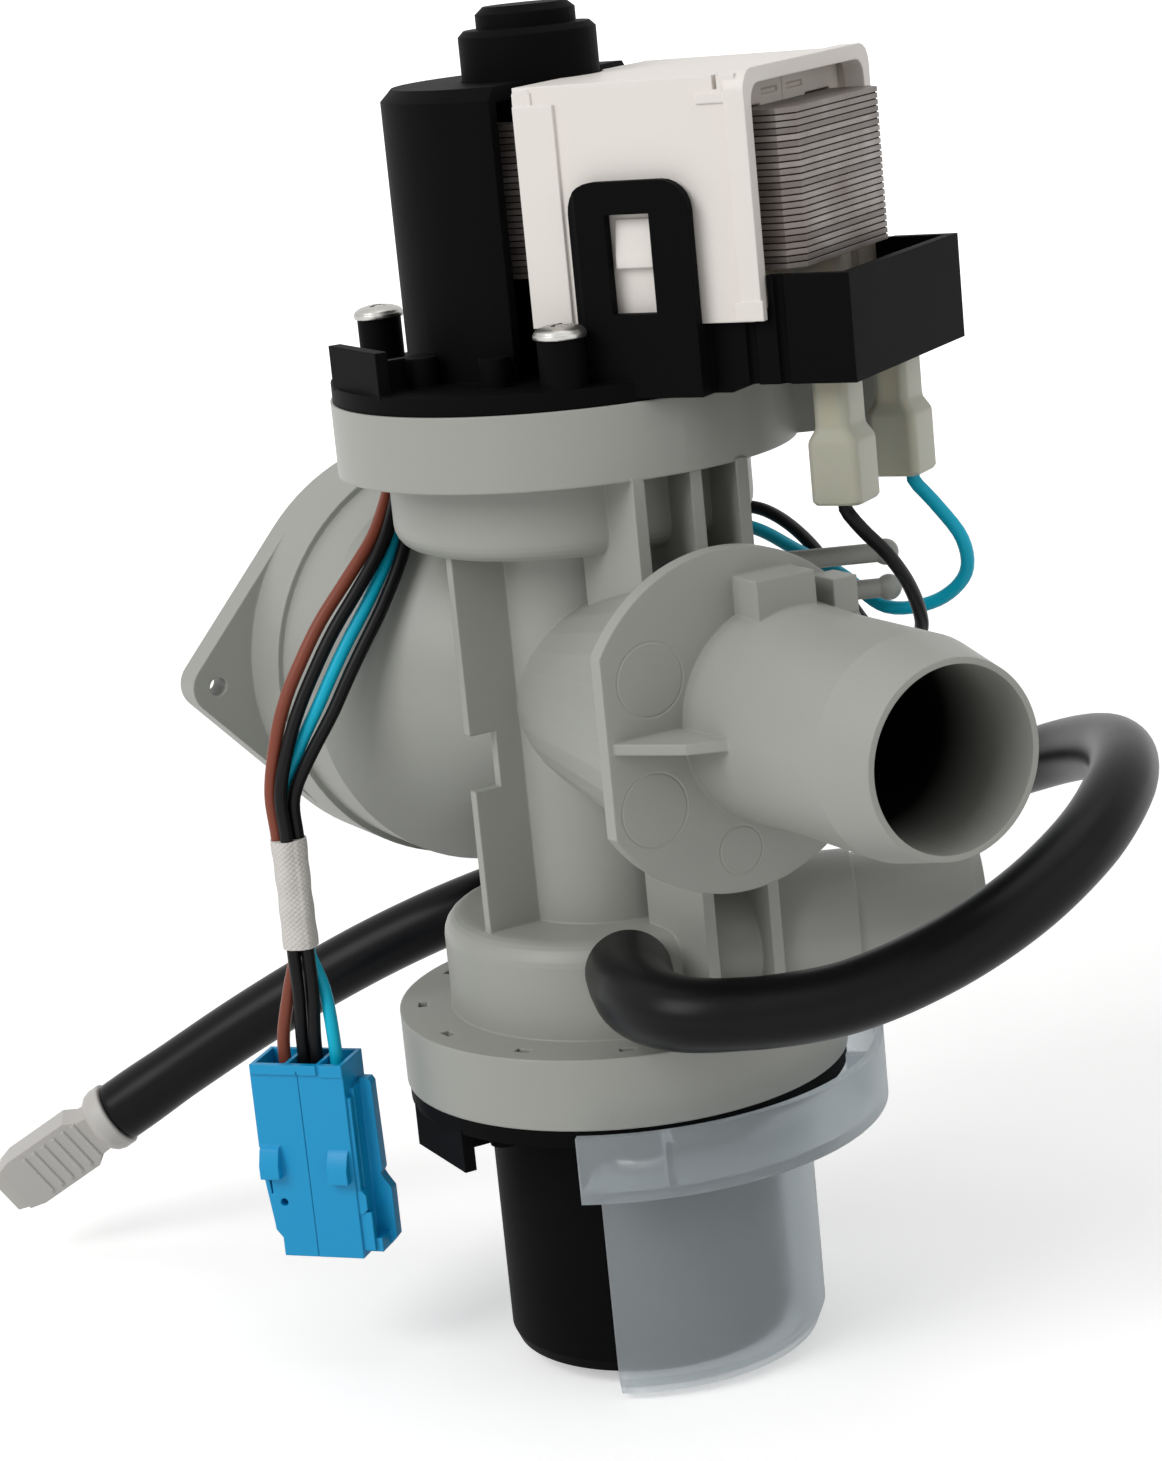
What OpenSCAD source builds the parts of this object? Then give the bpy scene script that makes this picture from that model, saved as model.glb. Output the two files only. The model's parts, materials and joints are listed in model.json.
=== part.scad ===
// Twin drain and circulation pump of a washing machine.
// Origin: centre of the filter flange's outer face. X runs along the inlet, Z along the motor shafts.

/* [Layout] */
// Distance from the filter flange face to the shaft axis
axis_x = 64.6; // [60:0.2:75]
// Height of the drain motor seat above the filter axis
drain_seat_z = 55.1; // [52:0.1:60]
// Depth of the circulation motor seat below the filter axis
circ_seat_z = 68.4; // [64:0.1:74]
// Distance from the shaft axis to the mouth of the inlet spigot
inlet_reach = 110; // [100:1:120]
// Height of the inlet spigot above the filter axis
inlet_rise = 5.5; // [3:0.5:8]
// Turn of the drain motor's coil block from the inlet direction
drain_turn = 32.5; // [20:0.5:40]

/* [Motor flanges] */
// Radius of both motor flanges
flange_r = 40; // [39:0.5:44]
// Height of both motor flanges
flange_h = 12.8; // [10:0.2:15]
// Radius of the circle that the motor screws stand on
screw_circle_r = 35.5; // [34.5:0.1:36]
// Direction of the first motor screw
first_screw_turn = -28; // [-60:1:0]
// Number of screws on each motor
screw_count = 3; // [2:1:4]
// Radius of the bore that takes the motor's spigot ring
seat_bore_r = 31.6; // [30:0.2:32]
// Depth of the bore that takes the motor's spigot ring
seat_bore_h = 4.2; // [3:0.1:6]
// Radius of the drain neck below its flange
drain_neck_r = 31.5; // [30:0.5:34]
// Depth of the drain neck from its seat
drain_neck_h = 26.6; // [25:0.2:30]
// Radius of the circulation neck above its flange
circ_neck_r = 30.5; // [30:0.5:34]
// Depth of the circulation neck from its seat
circ_neck_h = 29.9; // [28:0.1:32]
// Rounding of the neck's inner edge
neck_round = 4; // [1:0.5:6]
// Radius of the impeller chamber
volute_r = 27.4; // [25:0.2:28]
// Wall between the impeller chamber and the sump
volute_floor = 2.8; // [2:0.1:4]
// Radius of the impeller's suction eye
eye_r = 10; // [8:0.5:12]

/* [Sump] */
// Radius of the upright duct between the two necks
column_r = 17.5; // [16:0.5:20]
// Wall of the sump and its ducts
wall = 2.6; // [2:0.1:3.2]
// Distance from the shaft axis to the outer face of the inlet cover
cover_reach = 62.4; // [58:0.2:66]
// Thickness of the inlet cover
cover_t = 3; // [2:0.2:5]
// Radius of the inlet cover's outline
cover_r = 28.2; // [27:0.2:30]
// Sideways shift of the cover's centre from the spigot
cover_shift = 8.4; // [6:0.2:9]
// Distance from the cover's centre to its two side flats
cover_flat = 24; // [22:0.5:27]
// Radius of the sump where it meets the cover
boss_r = 24.4; // [22:0.2:25]

/* [Inlet and outlets] */
// Outer radius of the inlet spigot
spigot_r = 17.9; // [17:0.1:20]
// Bore radius of the inlet spigot
spigot_bore_r = 14.6; // [13:0.1:15]
// Radius of the lip at the spigot's mouth
spigot_lip_r = 15.6; // [15.4:0.1:16.5]
// Length of the taper at the spigot's mouth
spigot_lead = 11; // [4:1:16]
// Length of the spigot's thicker root
spigot_root_len = 13.8; // [13.6:0.1:18]
// Extra radius of the spigot where it leaves the cover
spigot_root_t = 0.7; // [0.3:0.1:1.5]
// Outer radius of the outlet spigots
outlet_r = 12; // [11:0.1:13]
// Bore radius of the outlet spigots
outlet_bore_r = 9.5; // [8:0.1:10]
// Distance from the shaft axis to the outlet mouths
outlet_reach = 64.5; // [58:0.5:70]
// Distance from the shaft axis to the end of the outlets' thicker root
outlet_root_reach = 42; // [41:0.5:46]
// Extra radius of the outlets' root
outlet_root_t = 0.8; // [0.4:0.1:1.5]
// Distance from the shaft axis to the inner end of the outlet bores
outlet_throat_reach = 27; // [24:0.5:30]
// Sideways distance of each outlet from the shaft axis
outlet_offset = 14; // [12:0.5:15]
// Direction of the drain outlet
drain_outlet_turn = 141; // [136:1:146]
// Direction of the circulation outlet
circ_outlet_turn = 61; // [50:1:75]
// Depth of the drain outlet's axis from its seat
drain_outlet_drop = 17; // [16:0.5:18]
// Depth of the circulation outlet's axis from its seat
circ_outlet_drop = 25; // [24:0.5:26]

/* [Filter housing] */
// Radius of the filter flange's rim
rim_r = 38.9; // [38.5:0.1:42]
// Length of the filter flange's rim
rim_h = 17.5; // [14:0.5:18]
// Radius of the filter barrel
barrel_r = 37.8; // [37.2:0.1:38]
// Length of the round part of the barrel from the flange face
barrel_len = 30; // [26:1:34]
// Bore radius of the filter mouth
mouth_r = 35; // [34:0.1:35.2]
// Distance between the two ear holes
ear_spacing = 92; // [90:1:100]
// Radius of the ears
ear_r = 5; // [4:0.5:7]
// Thickness of the ears
ear_t = 6; // [3:0.5:10]
// Radius of the ear holes
ear_hole_r = 1.7; // [1.5:0.1:2.5]

/* [Filter insert] */
// Gap round the filter cap and its seal
cap_clear = 0.35; // [0.2:0.05:0.6]
// Running gap between the filter seal and its mouth
seal_clear = 0.05; // [0.02:0.01:0.1]
// Gap on each side of the seal in its groove
groove_clear = 0.1; // [0.05:0.05:0.3]
// Distance from the flange face to the cap's front
cap_sink = 2; // [1:0.5:3]
// Thickness of the filter cap
cap_h = 14; // [12:0.5:16]
// Radius of the filter seal's cord
seal_cord_r = 1.8; // [1.4:0.1:2]
// Outer radius of the filter basket
basket_r = 22; // [20:0.5:23]
// Length of the filter basket
basket_len = 30; // [24:1:31]
// Number of slots round the basket
basket_slots = 8; // [6:1:12]
// Width of the filter grip
grip_w = 9; // [6:0.5:12]
// Length of the filter grip
grip_len = 50; // [40:1:56]
// How far the grip stands out of the cap
grip_h = 13; // [8:1:16]

/* [Motor housing] */
// Radius of the motor's base plate
plate_r = 39.6; // [38.6:0.1:40]
// Thickness of the motor's base plate
plate_t = 3.2; // [2.5:0.1:4]
// Outer radius of the rotor can
can_r = 11.75; // [11.6:0.05:12]
// Bore radius of the rotor can
can_bore_r = 10.55; // [10.4:0.05:10.6]
// Height of the rotor can above the seat
can_h = 59.9; // [59:0.1:62]
// Radius of the dome that holds the rear bearing
dome_r = 8.5; // [8.2:0.1:9]
// Height of the dome above the can
dome_h = 3.7; // [3:0.1:5]
// Outer radius of the curved shroud
shroud_r = 25.9; // [25:0.1:27]
// Height of the shroud above the seat
shroud_h = 51.6; // [51:0.1:53]
// Wall of the shroud
shroud_wall = 2.3; // [1.8:0.1:3]
// Height of the screw bosses above the seat
boss_h = 11.3; // [8:0.1:12]
// Radius of the screw bosses
screw_boss_r = 3.9; // [3.4:0.1:4]
// Height of the trough under the coils above the seat
trough_h = 17.2; // [16.5:0.1:18]
// Half width of the trough and of the terminal tray
tray_half_w = 23.2; // [22.5:0.1:24]
// Distance from the shaft axis to the end of the terminal tray
tray_reach = 65.8; // [64:0.1:68]
// Height of the terminal tray's rim above the seat
tray_h = 19.2; // [18.5:0.1:20]
// Thickness of the two coil clips
clip_t = 1.9; // [1.5:0.1:2.5]
// Width of the coil clips
clip_w = 22; // [18:0.5:24]
// Height of the coil clips above the seat
clip_h = 35.6; // [32:0.2:38]
// Width of the window in each coil clip
clip_window_w = 8; // [6:0.5:10]

/* [Drain stator] */
// Half width of the lamination stack across its two arms
core_half_w = 19; // [18.5:0.1:19.4]
// Height of the lamination stack's underside above the seat
core_z = 19.4; // [19:0.1:20]
// Thickness of the lamination stack
core_h = 25.6; // [24:0.2:26]
// Width of each lamination arm
arm_w = 10; // [9:0.1:10.2]
// Distance from the shaft axis to the end of the yoke
yoke_reach = 56; // [55.5:0.5:57]
// Length of the yoke
yoke_len = 9.5; // [8:0.1:10]
// Distance from the shaft axis to the tips of the arms
arm_tip = 11; // [8:0.5:13]
// Chamfer of the yoke's corners
yoke_chamfer = 2.5; // [1:0.1:3]
// Length of the coil cover from its end frame
cover_box_len = 41.6; // [40:0.2:42]
// Distance from the shaft axis to the coil cover's end frame
cover_box_reach = 51.2; // [51:0.1:52]
// Half width of the coil cover
cover_box_half_w = 25.2; // [25:0.1:25.6]
// Height of the coil cover above the seat
cover_box_h = 51.8; // [51.6:0.1:53]
// Wall of the coil cover
cover_box_wall = 1.5; // [1.2:0.1:1.6]

/* [Rotor] */
// Radius of the rotor shaft
shaft_r = 2; // [1.8:0.1:2.2]
// Radius of the rotor magnet
magnet_r = 9.7; // [9:0.1:9.8]
// Length of the rotor magnet
magnet_len = 34; // [30:1:36]
// Running gap round the shaft
shaft_clear = 0.05; // [0.02:0.01:0.08]
// Radius of the bearing bushes
bush_r = 4.5; // [4:0.1:5]
// Outer radius of the rear bearing's rubber ring
grommet_r = 7; // [6.5:0.1:7.2]
// Length of the rear bearing
rear_bush_h = 7; // [5:0.5:8]
// Radius of the impeller
impeller_r = 22; // [20:0.5:23]
// Height of the impeller's vanes
vane_h = 9; // [7:0.5:10]
// Thickness of the impeller's vanes
vane_t = 2.2; // [1.6:0.1:3]
// Number of vanes on the drain impeller
drain_vanes = 5; // [3:1:6]
// Number of vanes on the circulation impeller
circ_vanes = 6; // [3:1:8]
// Radius of the impeller's hub
hub_r = 8; // [7.6:0.1:9]
// Radius of the pocket that holds the drive dog
pocket_r = 6.4; // [6:0.1:6.6]
// Angle that each drive lug takes up
lug_angle = 40; // [30:2:50]

/* [Circulation motor] */
// Outer radius of the motor cup
cup_r = 25.8; // [25:0.1:26.5]
// Height of the motor cup above the seat
cup_h = 52.1; // [51:0.1:54]
// Wall of the motor cup
cup_wall = 2; // [1.6:0.1:2.4]
// Height of the circulation motor's can above the seat
circ_can_h = 48; // [47:0.5:48.5]
// Length of the circulation rotor's magnet
circ_magnet_len = 24; // [20:1:25]
// Height of the circulation motor's screw bosses above the seat
circ_boss_h = 6; // [4.5:0.1:6.4]
// Height of the ring stator
ring_core_h = 22; // [18:1:24]
// Height of the ring stator's underside above the seat
ring_core_z = 12; // [11:0.5:14]
// Number of stator poles
pole_count = 6; // [4:2:8]

/* [Drip cover] */
// Outer radius of the drip cover's rim
drip_rim_r = 46.5; // [45:0.5:48]
// Height of the drip cover's rim
drip_rim_h = 11.9; // [9:0.1:14]
// How far the rim laps over the pump flange
drip_lap = 1.1; // [0.5:0.1:2]
// Outer radius of the drip cover's skirt
drip_skirt_r = 32; // [30:0.5:34]
// Gap between the motor cup's end and the drip cover's floor
drip_floor_gap = 0.8; // [0.4:0.1:1.5]
// Wall of the drip cover
drip_wall = 1.5; // [1.2:0.1:1.8]
// Direction of the drip cover's first cut edge
drip_turn = -41.5; // [-50:0.5:-35]
// Height of the skirt's floor corner rounding
drip_round = 5; // [3:0.5:6]

/* [Hose and harness] */
// Radius of the drain hose
hose_r = 6; // [5.5:0.1:6.2]
// Radius of the hose elbow
elbow_r = 7.5; // [7:0.1:8]
// Radius of the hose nipple
nipple_r = 4.2; // [3.5:0.1:4.6]
// Direction of the hose nipple
nipple_turn = -25.8; // [-27:0.2:-25]
// Radius of the stopper's stem
stem_r = 3.2; // [2.8:0.1:3.4]
// Length of the stopper's stem
stem_len = 14; // [10:1:15]
// Radius of each wire
wire_r = 1.2; // [1:0.05:1.25]
// Radius of the wire bundle
trunk_r = 2.6; // [2.4:0.1:2.7]
// Width of the plug connector
plug_w = 20; // [18:0.5:22]
// Height of the plug connector
plug_h = 37; // [34:0.5:38]
// Thickness of the plug connector
plug_t = 9.4; // [8:0.2:11]
// Distance between neighbouring plug contacts
plug_pitch = 5; // [4.5:0.1:5.5]

/* [Hidden] */

$fn = 64;
head_r = 4.3;
head_h = 2.6;
shank_r = 2;
lap = 0.5;
cut = 1;
drain_neck_z = drain_seat_z - drain_neck_h;
circ_neck_z = -circ_seat_z + circ_neck_h;
cover_back = axis_x + cover_reach - cover_t;
column_bore_r = column_r - wall;
face_gap = 0.3;

housing_grey = [0.60, 0.60, 0.565];
motor_black = [0.07, 0.075, 0.08];
cover_white = [0.87, 0.84, 0.81];
steel_grey = [0.48, 0.46, 0.44];
copper = [0.72, 0.42, 0.2];
brass = [0.76, 0.63, 0.33];
nylon = [0.8, 0.8, 0.71];
rubber_black = [0.09, 0.09, 0.095];
zinc = [0.75, 0.76, 0.77];
wire_blue = [0.04, 0.62, 0.74];
wire_brown = [0.45, 0.22, 0.16];
plug_blue = [0.06, 0.52, 0.77];
tape_grey = [0.72, 0.71, 0.69];
milky = [0.68, 0.74, 0.8, 0.55];

// Places a piece on the drain motor's seat, with Z away from the pump
module on_drain() translate([axis_x, 0, drain_seat_z]) children();
// Places a piece on the circulation motor's seat, with Z away from the pump
module on_circ() translate([axis_x, 0, -circ_seat_z]) mirror([0, 0, 1]) children();
module on_drain_turned() on_drain() rotate([0, 0, drain_turn]) children();
module at_screws()
    for (i = [0 : screw_count - 1])
        rotate([0, 0, first_screw_turn + i * 360 / screw_count]) translate([screw_circle_r, 0, 0]) children();
// A cylinder that runs along X
module rod_x(r, h, r2 = -1) rotate([0, 90, 0]) cylinder(r1 = r, r2 = r2 < 0 ? r : r2, h = h);
module block(low, high) translate(low) cube(high - low);
module ring(r, bore, h)
    difference() {
        cylinder(r = r, h = h);
        translate([0, 0, -cut]) cylinder(r = bore, h = h + 2 * cut);
    }

// Swept tube along hand-chosen points, each ring square to the path
function unit(v) = v / norm(v);
function tangent(p, i) = unit(p[min(i + 1, len(p) - 1)] - p[max(i - 1, 0)]);
function squared(v, t) = unit(v - (v * t) * t);
function side(p, start, i) =
    i == 0 ? squared(start, tangent(p, 0)) : squared(side(p, start, i - 1), tangent(p, i));
function tube_points(p, r, sides, start) = [
    for (i = [0 : len(p) - 1])
        let (t = tangent(p, i), a = side(p, start, i), b = cross(t, a))
        for (k = [0 : sides - 1])
            p[i] + r * (cos(k * 360 / sides) * a + sin(k * 360 / sides) * b)
];
function tube_faces(n, sides) = concat(
    [for (k = [1 : sides - 2]) [0, k, k + 1]],
    [for (k = [1 : sides - 2]) [(n - 1) * sides, (n - 1) * sides + k + 1, (n - 1) * sides + k]],
    [for (i = [0 : n - 2], k = [0 : sides - 1])
        [i * sides + k, (i + 1) * sides + k, i * sides + (k + 1) % sides]],
    [for (i = [0 : n - 2], k = [0 : sides - 1])
        [(i + 1) * sides + k, (i + 1) * sides + (k + 1) % sides, i * sides + (k + 1) % sides]]
);
module tube(p, r, sides = 8, start = [0.2, 0.3, 1])
    polyhedron(points = tube_points(p, r, sides, start), faces = tube_faces(len(p), sides), convexity = 8);

// Pump housing

// Rounded neck that stands below a motor flange
module neck(r, h)
    rotate_extrude()
        polygon(concat(
            [[0, -flange_h + lap], [0, -h]],
            [for (a = [-90 : 15 : 0]) [r - neck_round + neck_round * cos(a),
                -h + neck_round + neck_round * sin(a)]],
            [[r, -flange_h + lap]]
        ));
module flange_and_neck(neck_r, neck_h) {
    translate([0, 0, -flange_h]) cylinder(r = flange_r, h = flange_h, $fn = 96);
    neck(neck_r, neck_h);
}
module volute_space(neck_h) {
    translate([0, 0, -seat_bore_h]) cylinder(r = seat_bore_r, h = seat_bore_h + cut);
    translate([0, 0, -neck_h + volute_floor]) cylinder(r = volute_r, h = neck_h - volute_floor);
    translate([0, 0, -neck_h - lap]) cylinder(r = eye_r, h = volute_floor + 2 * lap);
    at_screws() translate([0, 0, -screw_depth]) cylinder(r = screw_hole_r, h = screw_depth + cut);
}
screw_hole_r = shank_r;
screw_depth = 10;
outlet_start = 12;
outlet_lead = 2;
outlet_step = 0.4;
module outlet_place(turn, drop) rotate([0, 0, turn]) translate([0, -outlet_offset, -drop]) children();
module outlet_tube() {
    translate([outlet_start, 0, 0]) rod_x(outlet_r + outlet_root_t, outlet_root_reach - outlet_start);
    translate([outlet_root_reach - lap, 0, 0])
        rod_x(outlet_r, outlet_reach - outlet_root_reach - outlet_lead + lap);
    translate([outlet_reach - outlet_lead, 0, 0]) rod_x(outlet_r, outlet_lead, outlet_r - outlet_lead / 2);
}
module outlet_bore() {
    translate([column_bore_r, 0, 0])
        rod_x(outlet_bore_r - outlet_step, outlet_throat_reach - column_bore_r + lap);
    translate([outlet_throat_reach, 0, 0]) rod_x(outlet_bore_r, outlet_reach - outlet_throat_reach + cut);
}

// Round bar between the sump's inner end and the inlet cover
boss_start = 3;
boss_start_r = column_r - 0.6;
boss_shift = cover_shift - 1.4;
module boss_shape(inset)
    hull() {
        translate([axis_x + boss_start, 0, 0]) rod_x(boss_start_r - inset, 1, $fn = 32);
        translate([cover_back - 1, -boss_shift, inlet_rise]) rod_x(boss_r - inset, 1, $fn = 32);
    }
ear_reach = ear_spacing / 2;
ear_lean = acos((rim_r - ear_r) / ear_reach);
module ear_outline()
    for (s = [-1, 1]) {
        translate([0, s * ear_reach]) circle(r = ear_r);
        polygon([
            [rim_r * sin(ear_lean), s * rim_r * cos(ear_lean)],
            [ear_r * sin(ear_lean), s * (ear_reach + ear_r * cos(ear_lean))],
            [-ear_r * sin(ear_lean), s * (ear_reach + ear_r * cos(ear_lean))],
            [-rim_r * sin(ear_lean), s * rim_r * cos(ear_lean)]
        ]);
    }
module filter_barrel() {
    rod_x(rim_r, rim_h, $fn = 96);
    rod_x(barrel_r, barrel_len, $fn = 96);
    translate([barrel_len - lap, 0, 0]) rod_x(barrel_r, lap, $fn = 96);
    translate([barrel_len, 0, 0]) rod_x(barrel_r, axis_x - barrel_len, column_r - 0.4);
    rotate([0, 90, 0]) linear_extrude(ear_t) ear_outline();
}
module sump_space() {
    translate([-cut, 0, 0]) rod_x(mouth_r, barrel_len - 2 + cut, $fn = 96);
    translate([barrel_len - 2, 0, 0]) rod_x(mouth_r, axis_x - barrel_len + 2, column_bore_r - 0.4);
    translate([axis_x, 0, circ_neck_z]) cylinder(r = column_bore_r, h = drain_neck_z - circ_neck_z);
    boss_shape(wall);
    translate([cover_back - 1.5, -boss_shift, inlet_rise]) rod_x(boss_r - wall, 1.5 + cut);
}
// Flat upright plate on the front of the sump, with a notch
rib_x = 2.2;
rib_t = 2;
rib_in = 12;
rib_out = 27;
notch_low = -13;
notch_high = -3;
notch_w = 5;
module front_plate()
    difference() {
        block([axis_x + rib_x, -rib_out, circ_neck_z - lap],
            [axis_x + rib_x + rib_t, -rib_in, drain_neck_z + neck_round]);
        block([axis_x + rib_x - cut, -rib_out - cut, notch_low],
            [axis_x + rib_x + rib_t + cut, -rib_out + notch_w, notch_high]);
    }
web_t = 2.2;
web_reach = 39;
upper_webs = [-9, 2, 11];
lower_webs = [-3, 10];
module webs() {
    for (y = upper_webs)
        block([axis_x + 20, y - web_t / 2, inlet_rise + 12],
            [axis_x + web_reach, y + web_t / 2, drain_seat_z - flange_h + lap]);
    for (y = lower_webs)
        block([axis_x + 20, y - web_t / 2, -circ_seat_z + flange_h - lap],
            [axis_x + web_reach, y + web_t / 2, inlet_rise - 16]);
}
// Two pegs that the wires are hooked behind
peg_r = 1.7;
peg_tip_r = 2.3;
peg_turn = 61;
module peg(place, length)
    translate(place) rotate([0, 0, peg_turn]) {
        rod_x(peg_r, length);
        translate([length, 0, 0]) sphere(r = peg_tip_r);
    }
peg_roots = [[80, 12, 20.4], [82, 15, 14.2]];
peg_lens = [35, 31.5];
peg_pad = [[80, 8, 11], [88, 21.5, 23]];
module wire_pegs() {
    for (i = [0 : 1]) peg(peg_roots[i], peg_lens[i]);
    block(peg_pad[0], peg_pad[1]);
}
nipple_z = -43.5;
nipple_end = 42;
module nipple_place() translate([axis_x, 0, nipple_z]) rotate([0, 0, nipple_turn]) children();
slot_circle_r = 35.8;
module rim_slots()
    for (i = [0 : 11])
        translate([axis_x, 0, -circ_seat_z + flange_h]) rotate([0, 0, -28.5 + i * 30])
            translate([slot_circle_r, 0, 0]) cube([1.6, 2.8, 3.6], center = true);
// Flat lug on the side of the drain flange
lug_reach = 56;
lug_w = 16;
lug_turn = 61;
lug_shift = 2;
lug_drop = 0.4;
module flange_lug()
    on_drain() rotate([0, 0, lug_turn])
        block([flange_r - 3, -lug_w / 2 + lug_shift, -flange_h],
            [lug_reach, lug_w / 2 + lug_shift, -lug_drop]);

module pump_housing()
    color(housing_grey)
        difference() {
            union() {
                on_drain() flange_and_neck(drain_neck_r, drain_neck_h);
                on_circ() flange_and_neck(circ_neck_r, circ_neck_h);
                translate([axis_x, 0, circ_neck_z - lap])
                    cylinder(r = column_r, h = drain_neck_z - circ_neck_z + 2 * lap);
                filter_barrel();
                boss_shape(0);
                front_plate();
                webs();
                wire_pegs();
                flange_lug();
                on_drain() outlet_place(drain_outlet_turn, drain_outlet_drop) outlet_tube();
                on_circ() outlet_place(circ_outlet_turn, circ_outlet_drop) outlet_tube();
                nipple_place() translate([circ_neck_r - 2, 0, 0])
                    rod_x(nipple_r, nipple_end - circ_neck_r + 2);
            }
            on_drain() volute_space(drain_neck_h);
            on_circ() volute_space(circ_neck_h);
            sump_space();
            rim_slots();
            on_drain() outlet_place(drain_outlet_turn, drain_outlet_drop) outlet_bore();
            on_circ() outlet_place(circ_outlet_turn, circ_outlet_drop) outlet_bore();
            nipple_place() translate([volute_r - 2, 0, 0]) rod_x(nipple_r - 1.8, nipple_end);
            for (s = [-1, 1])
                translate([-cut, s * ear_reach, 0]) rod_x(ear_hole_r, ear_t + 2 * cut);
        }

fin_len = 13;
fin_t = 1.8;
key_high = [7, 11, 5.5];
key_low = [6, 4.5, 3];
module inlet_cover()
    color(housing_grey)
        translate([axis_x, 0, inlet_rise])
            difference() {
                union() {
                    intersection() {
                        translate([cover_reach - cover_t, -cover_shift, 0]) rod_x(cover_r, cover_t, $fn = 96);
                        block([cover_reach - cover_t, -cover_shift - cover_flat, -cover_r],
                            [cover_reach, -cover_shift + cover_flat + 3, cover_r]);
                    }
                    translate([cover_reach - lap, 0, 0])
                        rod_x(spigot_r + spigot_root_t, spigot_root_len + lap, spigot_r, $fn = 96);
                    translate([cover_reach + spigot_root_len, 0, 0])
                        rod_x(spigot_r, inlet_reach - cover_reach - spigot_root_len - spigot_lead, $fn = 96);
                    translate([inlet_reach - spigot_lead, 0, 0])
                        rod_x(spigot_r, spigot_lead, spigot_lip_r, $fn = 96);
                    translate([cover_reach - lap, 0, -fin_t / 2]) linear_extrude(fin_t)
                        polygon([[0, -cover_shift - cover_flat + 1], [lap, -cover_shift - cover_flat + 1],
                            [fin_len * 0.75, -spigot_r - fin_len * 0.45], [fin_len + lap, -spigot_r + 1],
                                [0, -spigot_r + 3]]);
                    block([cover_reach - lap, 4 - key_high[1], spigot_r - 1.5],
                        [cover_reach + key_high[0], 4, spigot_r + key_high[2]]);
                    block([cover_reach - lap, 8, spigot_r - 3],
                        [cover_reach + key_low[0], 8 + key_low[1], spigot_r + key_low[2]]);
                }
                translate([cover_reach - cover_t - cut, 0, 0]) rod_x(spigot_bore_r, inlet_reach, $fn = 96);
            }

// Filter insert, all round the X axis
seal_x = cap_sink + cap_h / 2;
cap_r = mouth_r - cap_clear;
groove_r = mouth_r - seal_clear - groove_clear - 2 * seal_cord_r;
module filter_cap()
    color(motor_black) {
        difference() {
            translate([cap_sink, 0, 0]) rod_x(cap_r, cap_h, $fn = 96);
            difference() {
                translate([seal_x - seal_cord_r - groove_clear, 0, 0])
                    rod_x(cap_r + cut, 2 * (seal_cord_r + groove_clear), $fn = 96);
                translate([seal_x - seal_cord_r - cut, 0, 0])
                    rod_x(groove_r, 2 * seal_cord_r + 2 * cut, $fn = 96);
            }
            difference() {
                translate([cap_sink - cut, 0, 0]) rod_x(cap_r - 3.5, 2.5 + cut, $fn = 96);
                block([0, -grip_w / 2 - 3, -grip_len / 2], [cap_sink + 5, grip_w / 2 + 3, grip_len / 2]);
            }
        }
        block([cap_sink - grip_h, -grip_w / 2, -grip_len / 2], [cap_sink + lap, grip_w / 2, grip_len / 2]);
    }
basket_wall = 2;
slot_w = 9;
module filter_basket()
    color(housing_grey)
        translate([cap_sink + cap_h, 0, 0])
            difference() {
                union() {
                    rod_x(basket_r + 4, 2.5);
                    rod_x(basket_r, basket_len);
                }
                translate([basket_wall, 0, 0]) rod_x(basket_r - basket_wall, basket_len);
                for (i = [0 : basket_slots - 1])
                    rotate([(i + 0.5) * 360 / basket_slots, 0, 0])
                        block([5, -slot_w / 2, basket_r / 2], [basket_len - 4, slot_w / 2, basket_r + 2]);
            }
module filter_seal()
    color(rubber_black)
        translate([seal_x, 0, 0]) rotate([0, 90, 0])
            rotate_extrude($fn = 96) translate([groove_r + groove_clear + seal_cord_r, 0])
                circle(r = seal_cord_r, $fn = 24);

// Drain motor, seen with Z away from the pump and X along the coil block
can_mouth_h = 9;
pocket_z = 49.5;
plug_in_h = 1.8;
holder_r = 13;
seal_ring_r = 30.2;
seal_ring_cord = 1.2;
spigot_ring_h = seat_bore_h - 0.4;
module motor_plate(top_z) {
    cylinder(r = plate_r, h = plate_t, $fn = 96);
    translate([0, 0, -spigot_ring_h]) ring(seat_bore_r - 0.3, volute_r, spigot_ring_h + lap);
    at_screws() translate([0, 0, plate_t - lap]) cylinder(r = screw_boss_r, h = top_z - plate_t + lap);
}
// Upright tab at the plate's edge, with a rib that runs in to the motor
tab_wall = 2.2;
tab_half = 9.5;
edge_tab_h = 7.2;
edge_rib_h = 5;
module edge_tab(turn, rib_from)
    rotate([0, 0, turn]) {
        block([plate_r - tab_wall - 1, -tab_half, plate_t - lap],
            [plate_r - 1, tab_half, plate_t + edge_tab_h]);
        block([rib_from, 2.5, plate_t - lap], [plate_r - 2, 4.5, plate_t + edge_rib_h]);
    }
stud_r = 2.6;
stud_h = 5;
module plate_studs(turns)
    for (turn = turns)
        rotate([0, 0, turn]) translate([screw_circle_r - 6, 0, plate_t - lap])
            cylinder(r = stud_r, h = stud_h + lap);
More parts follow.
